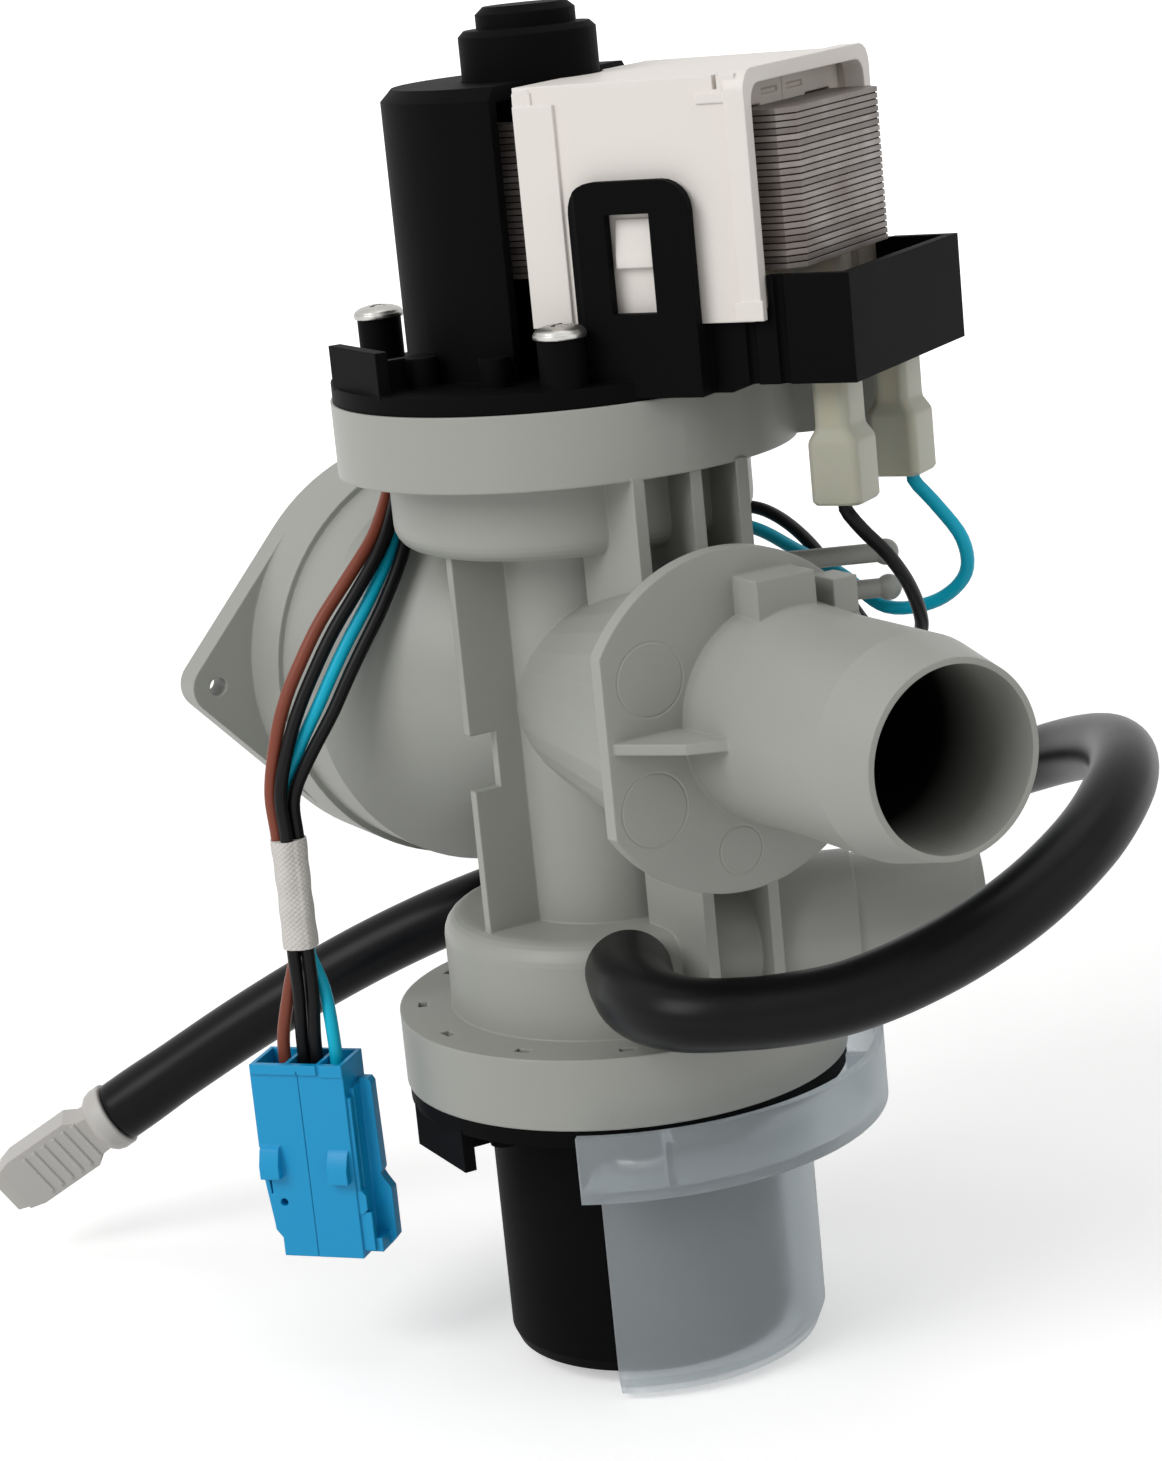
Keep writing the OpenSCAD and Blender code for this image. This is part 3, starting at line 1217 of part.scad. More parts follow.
module plug_connector()
    color(plug_blue)
        in_plug()
            difference() {
                union() {
                    block([-plug_w / 2, -plug_t / 2, -plug_h + 3], [plug_w / 2 - 2, plug_t / 2, 0]);
                    block([-plug_w / 2 + 2, -plug_t / 2, -plug_h], [plug_w / 2 - 4, plug_t / 2, -plug_h + 4]);
                    block([plug_w / 2 - 2.5, -plug_t / 2 + 2, -plug_h + 2],
                        [plug_w / 2 + 0.8, plug_t / 2 - 1, -5]);
                    block([plug_w / 2, -plug_t / 2 + 1.2, -plug_h + 1],
                        [plug_w / 2 + 4, plug_t / 2 - 2, -20]);
                    for (w = [-8.2, 4])
                        block([w - 2.2, -plug_t / 2 - 2, -22], [w + 2.2, -plug_t / 2 + lap, -16]);
                }
                for (w = [-plug_pitch, 0, plug_pitch])
                    block([w - 1.9, -1.9, -pocket_depth], [w + 1.9, 1.9, cut]);
                block([-plug_inner_w - wire_r - 0.1, -1.9, -pocket_depth],
                    [plug_inner_w + wire_r + 0.1, 1.9, cut]);
                for (w = [-plug_pitch, 0, plug_pitch])
                    block([w - 1.7, -2.6, -plug_h - cut], [w + 1.7, 2.6, contact_z]);
            }
module plug_contacts()
    color(brass)
        in_plug()
            for (w = [-plug_pitch, 0, plug_pitch])
                block([w - 1.2, -1.4, -plug_h + 1], [w + 1.2, -0.2, contact_z]);

pump_housing();
inlet_cover();
filter_cap();
filter_basket();
filter_seal();
drain_motor_housing();
drain_core();
drain_coil_cover();
drain_bobbins();
drain_windings();
drain_terminals();
tab_receptacles();
sleeve_black_wire();
sleeve_blue_wire();
drain_bearing_holder();
drain_front_bush();
drain_rear_bush();
drain_rear_grommet();
drain_face_seal();
drain_screws();
drain_magnet();
drain_shaft();
drain_drive_dog();
drain_impeller();
drain_impeller_clip();
circ_motor_base();
circ_motor_cup();
circ_core();
circ_windings();
circ_terminals();
circ_sleeves();
circ_bearing_holder();
circ_front_bush();
circ_rear_bush();
circ_rear_grommet();
circ_face_seal();
circ_screws();
circ_magnet();
circ_shaft();
circ_drive_dog();
circ_impeller();
circ_impeller_clip();
drip_cover();
hose_elbow();
drain_hose();
hose_stopper();
wire_black_drain();
wire_blue_drain();
wire_brown_circ();
wire_black_circ();
harness_tie();
harness_trunk();
harness_tape();
tail_brown();
tail_black_pair();
tail_blue();
plug_connector();
plug_contacts();
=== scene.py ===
import json
import math

import bmesh
import bpy
from mathutils import Matrix, Vector


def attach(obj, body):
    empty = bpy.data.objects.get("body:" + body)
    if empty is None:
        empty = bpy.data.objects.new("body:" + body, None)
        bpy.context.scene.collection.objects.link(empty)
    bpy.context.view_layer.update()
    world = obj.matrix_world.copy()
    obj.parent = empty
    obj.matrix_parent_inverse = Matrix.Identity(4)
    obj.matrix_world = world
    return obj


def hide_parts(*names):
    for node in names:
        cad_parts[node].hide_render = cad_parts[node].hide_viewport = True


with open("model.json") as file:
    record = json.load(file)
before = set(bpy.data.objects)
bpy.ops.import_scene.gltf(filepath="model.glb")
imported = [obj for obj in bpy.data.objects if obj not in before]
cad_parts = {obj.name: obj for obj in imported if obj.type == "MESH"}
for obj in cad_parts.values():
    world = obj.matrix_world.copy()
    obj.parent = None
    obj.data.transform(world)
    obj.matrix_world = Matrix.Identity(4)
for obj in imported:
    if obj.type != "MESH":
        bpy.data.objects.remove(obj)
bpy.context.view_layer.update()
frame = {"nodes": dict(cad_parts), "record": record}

# Washer drain pump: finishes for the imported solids, and finer pieces in place of the solids that show
# wires, hose, tape, plug, stopper, screws and the drain motor's coil block.

scene = bpy.context.scene
nodes = frame["nodes"]
MM = 0.001
IN_METRES = Matrix.Scale(MM, 4)
scene.view_settings.view_transform = "Standard"

# Sizes and places in millimetres, as the part's source has them
AXIS_X = 64.6
DRAIN_SEAT = 55.1
CIRC_SEAT = 68.4
BLOCK_TURN = 32.5
WIRE_R = 1.2
WIRE_SIDES = 14
WIRE_STEP = 1.6
INLET_RISE = 5.5
# The inlet's bore is 14.6 in radius, with its mouth at x 174.6. Within BORE_EDGE of its axis the wall gets
# painted shade, from BORE_LIGHT_TO inwards
BORE_EDGE = 15.4
BORE_LIGHT_TO = 167.0
HOSE_R = 6.0
HOSE_SIDES = 40
HOSE_STEP = 1.5
ELBOW_ROUTE = [
    (92.1, -13.3, -43.5), (98.4, -16.3, -43.5), (105, -19, -43.5), (112, -20, -43.5),
    (118.5, -18.5, -43.5), (123, -15, -43.5), (126, -11, -43.5),
]
HOSE_ROUTE = [
    (126.12, -10.84, -43.5), (127.2, -9.4, -43.5), (135.1, 2.7, -42), (141.7, 17.2, -37.1),
    (144.8, 32.1, -30.6), (142.6, 47, -24.1),
    (134.2, 60.7, -19.9), (122, 71.9, -19.3), (108.1, 80.7, -21), (93.2, 87.2, -24.4), (77.8, 91.3, -29),
    (62.2, 91.8, -34.5), (47.4, 86.7, -39.9), (35.3, 76.1, -43.7), (26.2, 62.4, -45.8), (19, 47.5, -47.2),
    (12.4, 32.3, -48.9), (5.7, 17.4, -51.6), (-1.8, 3.2, -55.9), (-9.8, -10.2, -61.6), (-18.1, -22.9, -68.5),
    (-26.3, -35.1, -76.2), (-34.3, -47, -84.5), (-42, -59, -93),
]
BLACK_DRAIN_ROUTE = [
    (120, 20, 35.6), (120, 20, 34.4), (122, 21.5, 31), (123.5, 25, 26.5), (122, 30, 20), (117.5, 35, 12),
    (110, 38, 7), (103, 39.5, 4.8), (95, 41, 5), (85, 42.5, 9.5), (72, 43.6, 18.5), (58, 43.5, 23.2),
    (42, 42, 23), (30, 38, 24), (24, 31.5, 31), (22.25, 24, 38), (22.25, 17, 42.25),
]
BLUE_DRAIN_ROUTE = [
    (108, 42, 35.6), (108, 42, 34.4), (110.5, 44, 30.5), (112.5, 48, 23.5), (110, 50, 17), (103, 48.5, 11.5),
    (94, 44, 10), (85, 41.3, 15), (72, 40.6, 18), (58, 40.6, 20.5), (42, 39.4, 20.2), (30, 35.4, 21.2),
    (23.8, 29, 28), (22.25, 21.5, 35), (22.25, 16, 39.7),
]
BROWN_CIRC_ROUTE = [
    (20.6, 5.6, -47), (20.6, 5.6, -45.4), (19.8, 8, -42.6), (19.2, 13, -41.4), (19.6, 26, -40.6),
    (22, 41.5, -28), (22.5, 46, -4), (21.3, 42, 14), (19.7, 32, 28), (19.7, 22, 36.8), (19.7, 16, 39.7),
]
BLACK_CIRC_ROUTE = [
    (23.7, 17.2, -47), (23.7, 17.2, -45.4), (24, 19, -43), (24.6, 23.5, -41.6), (25.2, 31, -39.5),
    (27.5, 44.5, -27), (27.5, 48.5, -3), (25, 45, 15), (20.6, 34.5, 30), (19.7, 25, 39.2), (19.7, 17.5, 42.25),
]
TRUNK_ROUTE = [
    (21, 12, 41), (21, 7, 41), (21, 1, 41), (22, -6, 40.6), (26, -12, 39), (31, -16, 37.5), (36, -20, 33),
    (40.5, -25, 27), (42, -31, 20), (42, -37.5, 12), (41, -43, 3), (39.8, -47, -5), (38.6, -50, -14),
    (38.6, -50, -22), (38.6, -50, -32), (38.6, -50, -42),
]
TAPE_TOP = -22.0
TAPE_END = Vector((38.6, -50, -42))
PLUG_TOP = Vector((38, -50.4, -63))
PLUG_TURN = math.radians(41)
TAPE_TURN = math.radians(61)
# How far the strands turn on their way through the tape
TAPE_TWIST = math.radians(45)
TAPE_STEPS = 40
FLOOR_Z = -122.8


def srgb(r, g, b):
    """A colour picked on a screen, 0 to 255, as the shader's linear colour."""
    parts = [c / 255 for c in (r, g, b)]
    return tuple(c / 12.92 if c <= 0.04045 else ((c + 0.055) / 1.055) ** 2.4 for c in parts) + (1.0,)


def brighter(colour, share):
    return tuple(min(1.0, c * share) for c in colour[:3]) + (1.0,)


# Camera at the photograph's view
def place_camera():
    eye = Vector((592.022, -289.953, 139.410)) * MM
    right = (0.496356, 0.862765, -0.096266)
    up = (-0.160419, 0.200136, 0.966546)
    forward = (-0.853169, 0.464308, -0.237742)
    lens = bpy.data.cameras.new("camera")
    lens.lens = 86.2004
    lens.sensor_width = 36
    lens.clip_end = 100
    camera = bpy.data.objects.new("camera", lens)
    camera.matrix_world = Matrix([[right[i], up[i], -forward[i], eye[i]] for i in range(3)] + [[0, 0, 0, 1]])
    scene.collection.objects.link(camera)
    scene.camera = camera
    return Vector(forward)


LOOK = place_camera()


# Node trees
class Sock:
    """A socket of a node tree. Sums and products of sockets and numbers add Math nodes."""

    def __init__(self, net, link):
        self.net = net
        self.link = link

    def _math(self, operation, a, b=None, clamp=False):
        values = {0: a} if b is None else {0: a, 1: b}
        return self.net.node("ShaderNodeMath", {"operation": operation, "use_clamp": clamp}, values)

    def __add__(self, other):
        return self._math("ADD", self, other)

    def __radd__(self, other):
        return self._math("ADD", other, self)

    def __sub__(self, other):
        return self._math("SUBTRACT", self, other)

    def __rsub__(self, other):
        return self._math("SUBTRACT", other, self)

    def __mul__(self, other):
        return self._math("MULTIPLY", self, other)

    def __truediv__(self, other):
        return self._math("DIVIDE", self, other)

    def clamped(self):
        return self._math("ADD", self, 0.0, clamp=True)

    def floored(self):
        return self._math("FLOOR", self)

    def sine(self):
        return self._math("SINE", self)

    def size(self):
        return self._math("ABSOLUTE", self)

    def output(self, name):
        return Sock(self.net, self.link.node.outputs[name])


class Net:
    """A node tree and the one method that adds its nodes."""

    def __init__(self, tree):
        self.tree = tree

    def node(self, kind, settings=None, sockets=None, out=0):
        made = self.tree.nodes.new(kind)
        for key, value in (settings or {}).items():
            if key == "stops":
                ramp = made.color_ramp
                while len(ramp.elements) < len(value):
                    ramp.elements.new(1.0)
                for element, (position, colour) in zip(ramp.elements, value):
                    element.position = position
                    element.color = colour
            else:
                setattr(made, key, value)
        for key, value in (sockets or {}).items():
            if isinstance(value, Sock):
                self.tree.links.new(value.link, made.inputs[key])
            else:
                made.inputs[key].default_value = value
        return Sock(self, made.outputs[out]) if len(made.outputs) else None

    def noise(self, place, grain_mm, detail, roughness=0.5):
        scale = 1 / (grain_mm * MM)
        sockets = {"Vector": place, "Scale": scale, "Detail": detail, "Roughness": roughness}
        return self.node("ShaderNodeTexNoise", {}, sockets)

    def blend(self, share, a, b):
        return self.node("ShaderNodeMix", {"data_type": "RGBA"}, {0: share, 6: a, 7: b}, out=2)


def new_material(name):
    material = bpy.data.materials.new(name)
    material.use_nodes = True
    material.node_tree.nodes.clear()
    return material, Net(material.node_tree)


def surface(net, sockets):
    shader = net.node("ShaderNodeBsdfPrincipled", {}, sockets)
    net.node("ShaderNodeOutputMaterial", {}, {"Surface": shader})


def softened(net, radius_mm):
    """The normal with its edges rounded, and how near an edge a point is, from 0 to 1."""
    rounded = net.node("ShaderNodeBevel", {"samples": 4}, {"Radius": radius_mm * MM})
    plain = net.node("ShaderNodeNewGeometry", out="Normal")
    facing = net.node("ShaderNodeVectorMath", {"operation": "DOT_PRODUCT"}, {0: rounded, 1: plain}, out="Value")
    return rounded, ((1 - facing) * 4).clamped()


def plastic(name, colour, rough, specular, grain=0.5, depth=0.3, cloud=0.04, edge=0.3, radius=0.4, **fixed):
    """Moulded plastic: a fine eroded grain, a faint cloudiness, and edges that catch the light and get a painted
    highlight.
    """
    material, net = new_material(name)
    place = net.node("ShaderNodeTexCoord", out="Object")
    fine = net.noise(place, grain, 3.0, 0.6)
    broad = net.noise(place, 22, 3.0, 0.6)
    rounded, near_edge = softened(net, radius)
    tone = net.blend(broad, brighter(colour, 1 - cloud), brighter(colour, 1 + cloud))
    tone = net.blend(fine * 0.35, tone, brighter(colour, 0.88))
    # Painted highlight: the colour is lightened near the edges, by the share edge
    tone = net.blend(near_edge * edge, tone, brighter(colour, 1.6))
    bump = net.node(
        "ShaderNodeBump", {}, {"Strength": depth, "Distance": 0.04 * MM, "Height": fine, "Normal": rounded}
    )
    sockets = {
        "Base Color": tone,
        "Roughness": (rough - 0.05 + broad * 0.08 + fine * 0.06 - near_edge * 0.05).clamped(),
        "Specular IOR Level": specular,
        "Normal": bump,
    }
    sockets.update(fixed)
    surface(net, sockets)
    return material


def with_painted_bore_shade(finish, marks=()):
    """The plastic again, with painted shade inside the inlet's bore, darker the further in it lies, as no daylight
    reaches there.
    marks are faint round witness lines of ejector pins, at (y, z, radius) in millimetres."""
    material = finish.copy()
    net = Net(material.node_tree)
    shader = next(node for node in net.tree.nodes if node.type == "BSDF_PRINCIPLED")
    tone = Sock(net, shader.inputs["Base Color"].links[0].from_socket)
    normal = Sock(net, shader.inputs["Normal"].links[0].from_socket)
    place = net.node("ShaderNodeTexCoord", out="Object")
    parts = net.node("ShaderNodeSeparateXYZ", {}, {"Vector": place})
    flat = net.node("ShaderNodeCombineXYZ", {}, {"Y": parts.output("Y"), "Z": parts.output("Z")})

    def away(y, z):
        spot = {0: flat, 1: (0, y * MM, z * MM)}
        return net.node("ShaderNodeVectorMath", {"operation": "DISTANCE"}, spot, out="Value")

    lines = 0
    for y, z, radius in marks:
        lines = (1 - (away(y, z) - radius * MM).size() / (0.3 * MM)).clamped() + lines
    if marks:
        normal = net.node(
            "ShaderNodeBump", {}, {"Strength": 0.7, "Distance": 0.12 * MM, "Height": 0 - lines, "Normal": normal}
        )
    # Painted shade: the bore's wall turns near black the further in it lies
    within = ((BORE_EDGE * MM - away(0, INLET_RISE)) / (0.2 * MM)).clamped()
    deep = ((BORE_LIGHT_TO * MM - parts.output("X")) / (16 * MM)).clamped()
    tone = net.blend(within * deep, tone, srgb(10, 10, 9))
    net.tree.links.new(tone.link, shader.inputs["Base Color"])
    net.tree.links.new(normal.link, shader.inputs["Normal"])
    return material


def metal(name, colour, rough, grain=0.6, dull=0.25):
    """Metal with a faint mottle of oxide and handling marks, and a painted highlight along its edges."""
    material, net = new_material(name)
    place = net.node("ShaderNodeTexCoord", out="Object")
    fine = net.noise(place, grain, 4.0, 0.65)
    broad = net.noise(place, 5, 3.0, 0.6)
    rounded, near_edge = softened(net, 0.15)
    tone = net.blend((broad * fine * 2).clamped(), brighter(colour, 1 - dull), brighter(colour, 1.05))
    # Painted highlight: lighter colour near the edges
    tone = net.blend(near_edge * 0.3, tone, brighter(colour, 1.4))
    bump = net.node(
        "ShaderNodeBump", {}, {"Strength": 0.2, "Distance": 0.02 * MM, "Height": fine, "Normal": rounded}
    )
    surface(net, {"Base Color": tone, "Metallic": 1.0, "Roughness": (rough + fine * 0.15).clamped(), "Normal": bump})
    return material


def sheet_stack(name, colour, pitch, low):
    """Edges of punched sheets: each sheet has its own tone, with marks of the shear along it, and a painted highlight
    near its edges.
    """
    material, net = new_material(name)
    place = net.node("ShaderNodeTexCoord", out="Object")
    parts = net.node("ShaderNodeSeparateXYZ", {}, {"Vector": place})
    height = parts.output("Z")
    sheet = ((height - low * MM) / (pitch * MM)).floored()
    own = net.node("ShaderNodeTexWhiteNoise", {"noise_dimensions": "1D"}, {"W": sheet}, out="Value")
    shear = net.noise(place, 0.5, 4.0, 0.7)
    broad = net.noise(place, 9, 2.0)
    rounded, near_edge = softened(net, 0.12)
    tone = net.blend(own, brighter(colour, 0.62), brighter(colour, 1.3))
    tone = net.blend((broad * 1.4 - 0.3).clamped(), tone, brighter(srgb(104, 92, 84), 0.9))
    # Painted highlight: lighter colour near the sheets' edges
    tone = net.blend(near_edge * 0.4, tone, brighter(colour, 1.8))
    bump = net.node(
        "ShaderNodeBump", {}, {"Strength": 0.4, "Distance": 0.03 * MM, "Height": shear, "Normal": rounded}
    )
    surface(net, {"Base Color": tone, "Metallic": 0.75, "Roughness": (0.34 + shear * 0.25).clamped(), "Normal": bump})
    return material


WOUND_PITCH = 0.3


def wound_wire(name, colour):
    """Enamelled wire, laid side by side."""
    material, net = new_material(name)
    place = net.node("ShaderNodeTexCoord", out="Object")
    parts = net.node("ShaderNodeSeparateXYZ", {}, {"Vector": place})
    turns = ((parts.output("X") * 0.84 + parts.output("Y") * 0.54) * (2 * math.pi / (WOUND_PITCH * MM))).sine()
    broad = net.noise(place, 4, 2.0)
    tone = net.blend(broad, brighter(colour, 0.8), brighter(colour, 1.15))
    bump = net.node("ShaderNodeBump", {}, {"Strength": 0.6, "Distance": 0.08 * MM, "Height": turns})
    surface(net, {"Base Color": tone, "Metallic": 0.85, "Roughness": (0.25 + broad * 0.15).clamped(), "Normal": bump})
    return material


def along_skin(name, colour, rough, specular, depth=0.15):
    """Extruded skin of a wire or hose: fine drawn streaks that run along it, and a soft mottle."""
    material, net = new_material(name)
    place = net.node("ShaderNodeTexCoord", out="Object")
    skin = net.node("ShaderNodeUVMap", {"uv_map": "skin"})
    drawn = net.node("ShaderNodeVectorMath", {"operation": "MULTIPLY"}, {0: skin, 1: (60.0, 0.05, 1.0)})
    lines = net.node("ShaderNodeTexNoise", {}, {"Vector": drawn, "Scale": 1.0, "Detail": 2.0})
    fine = net.noise(place, 0.5, 2.0)
    broad = net.noise(place, 14, 2.0)
    tone = net.blend(broad, brighter(colour, 0.9), brighter(colour, 1.12))
    tone = net.blend(fine * lines * 0.25, tone, brighter(colour, 1.7))
    bump = net.node(
        "ShaderNodeBump", {}, {"Strength": depth, "Distance": 0.04 * MM, "Height": lines * 0.6 + fine * 0.4}
    )
    roughness = (rough + lines * 0.08 + broad * 0.1 - 0.05).clamped()
    surface(net, {"Base Color": tone, "Roughness": roughness, "Specular IOR Level": specular, "Normal": bump})
    return material


def woven_tape(name, colour):
    """Fleece tape: a plain weave of fine threads, a little fuzzy, with a wrapped edge."""
    material, net = new_material(name)
    place = net.node("ShaderNodeTexCoord", out="Object")
    skin = net.node("ShaderNodeUVMap", {"uv_map": "skin"})
    parts = net.node("ShaderNodeSeparateXYZ", {}, {"Vector": skin})
    turn = 2 * math.pi
    warp = (parts.output("X") * (turn / 0.8)).sine()
    weft = (parts.output("Y") * (turn / 0.9)).sine()
    fuzz = net.noise(place, 0.45, 4.0, 0.7)
    broad = net.noise(place, 5, 3.0)
    threads = warp * weft * 0.5 + 0.5
    tone = net.blend(broad, brighter(colour, 0.9), brighter(colour, 1.08))
    tone = net.blend((threads * 0.55 + fuzz * 0.35).clamped(), tone, brighter(colour, 0.72))
    height = threads * 0.6 + fuzz * 0.7
    bump = net.node("ShaderNodeBump", {}, {"Strength": 0.8, "Distance": 0.2 * MM, "Height": height})
    cloth = {"Roughness": 0.9, "Specular IOR Level": 0.15, "Sheen Weight": 0.15}
    surface(net, {"Base Color": tone, "Normal": bump, **cloth})
    return material


HOUSING_GREY = srgb(155, 156, 150)
MOTOR_BLACK = srgb(10, 10, 11)
COVER_WHITE = srgb(228, 222, 216)
STEEL_SHEET = srgb(142, 137, 134)
SLEEVE_NYLON = srgb(203, 203, 186)
MILKY_BLUE = srgb(218, 224, 227)
PLUG_BLUE = srgb(0, 150, 204)
WIRE_BLUE = srgb(4, 172, 202)
WIRE_BROWN = srgb(122, 62, 46)
RUBBER = srgb(14, 14, 16)
TAPE_GREY = srgb(224, 220, 215)
SHEETS = 24
CORE_LOW = 19.4
CORE_H = 25.6
SHEET_PITCH = CORE_H / SHEETS
SHEET_GAP = 0.26

milky_drip = {"Transmission Weight": 0.79, "IOR": 1.12}
milky_sleeve = {"Transmission Weight": 0.35, "IOR": 1.4, "Subsurface Weight": 0.35, "Subsurface Scale": 1.0 * MM}
FINISHES = {
    "housing_grey": plastic("housing_grey", HOUSING_GREY, 0.42, 0.45, depth=0.25, radius=0.5, edge=0.5),
    "motor_black": plastic("motor_black", MOTOR_BLACK, 0.55, 0.03, depth=0.3, edge=1.0),
    "laminations": sheet_stack("laminations", STEEL_SHEET, SHEET_PITCH, DRAIN_SEAT + CORE_LOW),
    "core_shadow": metal("core_shadow", srgb(62, 54, 50), 0.6),
    "cover_white": plastic("cover_white", COVER_WHITE, 0.45, 0.4, edge=0.5, cloud=0.03, depth=0.2),
    "nylon": plastic("nylon", srgb(214, 208, 198), 0.42, 0.45, **{"Subsurface Weight": 0.2, "Subsurface Scale": MM}),
    "copper_wire": wound_wire("copper_wire", srgb(176, 96, 52)),
    "brass": metal("brass", srgb(196, 168, 96), 0.24),
    "sleeve_clear": plastic("sleeve_clear", SLEEVE_NYLON, 0.3, 0.45, edge=0.4, **milky_sleeve),
    "sintered_bush": metal("sintered_bush", srgb(134, 104, 70), 0.42, grain=0.3),
    "rubber_black": plastic("rubber_black", RUBBER, 0.55, 0.08, grain=0.9),
    "zinc_screws": metal("zinc_screws", srgb(192, 191, 186), 0.28, grain=0.8),
    "drip_milky": plastic("drip_milky", MILKY_BLUE, 0.34, 0.4, edge=0.8, depth=0.15, **milky_drip),
    "hose_black": along_skin("hose_black", srgb(10, 10, 12), 0.3, 0.13, depth=0.12),
    "wire_black": along_skin("wire_black", srgb(11, 11, 13), 0.34, 0.16),
    "wire_blue": along_skin("wire_blue", WIRE_BLUE, 0.36, 0.25),
    "wire_brown": along_skin("wire_brown", WIRE_BROWN, 0.38, 0.25),
    "tie_black": plastic("tie_black", RUBBER, 0.45, 0.2),
    "tape_grey": woven_tape("tape_grey", TAPE_GREY),
    "plug_blue": plastic("plug_blue", PLUG_BLUE, 0.42, 0.4, edge=0.25, cloud=0.03, depth=0.2),
    "ferrite": plastic("ferrite", srgb(46, 45, 46), 0.6, 0.4, grain=0.25, depth=0.5),
    "shaft_steel": metal("shaft_steel", srgb(200, 200, 200), 0.16, grain=1.2, dull=0.1),
    "impeller_white": plastic("impeller_white", srgb(216, 216, 210), 0.42, 0.4),
    "cap_black": plastic("cap_black", srgb(16, 16, 17), 0.42, 0.15),
    "basket_grey": plastic("basket_grey", srgb(168, 168, 162), 0.48, 0.4),
    "stopper_white": plastic("stopper_white", srgb(188, 185, 181), 0.4, 0.42, edge=0.4, depth=0.15),
}

PLAIN_GREY = FINISHES["housing_grey"]
# Finishes with painted shade inside the inlet's bore; the inlet cover's also has ejector marks
OWN_FINISHES = {
    "inlet_cover": with_painted_bore_shade(PLAIN_GREY, [(-23.7, 15.3, 6.0), (-25.0, -5.7, 6.0), (-9.7, -15.7, 4.0)]),
    "pump_housing": with_painted_bore_shade(PLAIN_GREY),
}

for part in frame["record"]["subparts"]:
    finish = OWN_FINISHES.get(part["node"], FINISHES[part["material_slot"]])
    mesh = nodes[part["node"]].data
    if len(mesh.materials) == 0:
        mesh.materials.append(finish)
    for place_in_list in range(len(mesh.materials)):
        mesh.materials[place_in_list] = finish


# Mesh helpers, in millimetres until a piece is put in its place
CORNER_STEPS = 4


def mesh_object(name, points, faces):
    mesh = bpy.data.meshes.new(name)
    mesh.from_pydata([tuple(p) for p in points], [], faces)
    mesh.update()
    made = bpy.data.objects.new(name, mesh)
    scene.collection.objects.link(made)
    return made


def box(low, high):
    return prism([(low[0], low[1]), (high[0], low[1]), (high[0], high[1]), (low[0], high[1])], low[2], high[2], "Z")


def prism(outline, low, high, along):
    """An outline pushed from low to high. Along Z it is in (x, y), along Y in (x, z), along X in (y, z)."""
    put = {"Z": lambda a, b, c: (a, b, c), "Y": lambda a, b, c: (a, c, b), "X": lambda a, b, c: (c, a, b)}[along]
    n = len(outline)
    points = [put(a, b, c) for c in (low, high) for a, b in outline]
    faces = [tuple(range(n))[::-1], tuple(range(n, 2 * n))]
    faces += [(i, (i + 1) % n, n + (i + 1) % n, n + i) for i in range(n)]
    return points, faces


def turned(profile, sides=48):
    """A closed solid turned from (radius, height) pairs that start and end on the axis."""
    points, faces, turn = [(0, 0, profile[0][1]), (0, 0, profile[-1][1])], [], 2 * math.pi
    rings = profile[1:-1]
    for r, z in rings:
        points += [(r * math.cos(turn * k / sides), r * math.sin(turn * k / sides), z) for k in range(sides)]
    for k in range(sides):
        nxt = (k + 1) % sides
        faces.append((0, 2 + nxt, 2 + k))
        last = 2 + (len(rings) - 1) * sides
        faces.append((1, last + k, last + nxt))
        for j in range(len(rings) - 1):
            a = 2 + j * sides
            faces.append((a + k, a + nxt, a + sides + nxt, a + sides + k))
    return points, faces


def corner_box(half_a, half_b, round_r):
    """Points round a rectangle with rounded corners, in (a, b)."""
    found = []
    for quarter in range(4):
        ca = (half_a - round_r) * (1 if quarter in (0, 3) else -1)
        cb = (half_b - round_r) * (1 if quarter in (0, 1) else -1)
        for k in range(CORNER_STEPS + 1):
            angle = math.pi / 2 * (quarter + k / CORNER_STEPS)
            found.append((ca + round_r * math.cos(angle), cb + round_r * math.sin(angle)))
    return found


def lofted(rings):
    """A closed solid through rings of as many points each."""
    n = len(rings[0])
    points = [p for ring in rings for p in ring]
    faces = [tuple(range(n))[::-1], tuple(range((len(rings) - 1) * n, len(rings) * n))]
    for j in range(len(rings) - 1):
        faces += [(j * n + i, j * n + (i + 1) % n, (j + 1) * n + (i + 1) % n, (j + 1) * n + i) for i in range(n)]
    return points, faces


def laid_down(shape):
    """The shape with its own axis along Y."""
    points, faces = shape
    return [(x, z, -y) for x, y, z in points], faces


def moved(shape, offset):
    return [tuple(Vector(p) + Vector(offset)) for p in shape[0]], shape[1]


def baked(made):
    """The modifiers' result as the object's own plain mesh."""
    bpy.context.view_layer.update()
    graph = bpy.context.evaluated_depsgraph_get()
    mesh = bpy.data.meshes.new_from_object(made.evaluated_get(graph), preserve_all_data_layers=True, depsgraph=graph)
    made.modifiers.clear()
    mesh.name = made.name
    made.data = mesh
    return made


def outwards(mesh):
    tool = bmesh.new()
    tool.from_mesh(mesh)
    bmesh.ops.remove_doubles(tool, verts=tool.verts, dist=1e-4)
    bmesh.ops.recalc_face_normals(tool, faces=tool.faces)
    tool.to_mesh(mesh)
    tool.free()


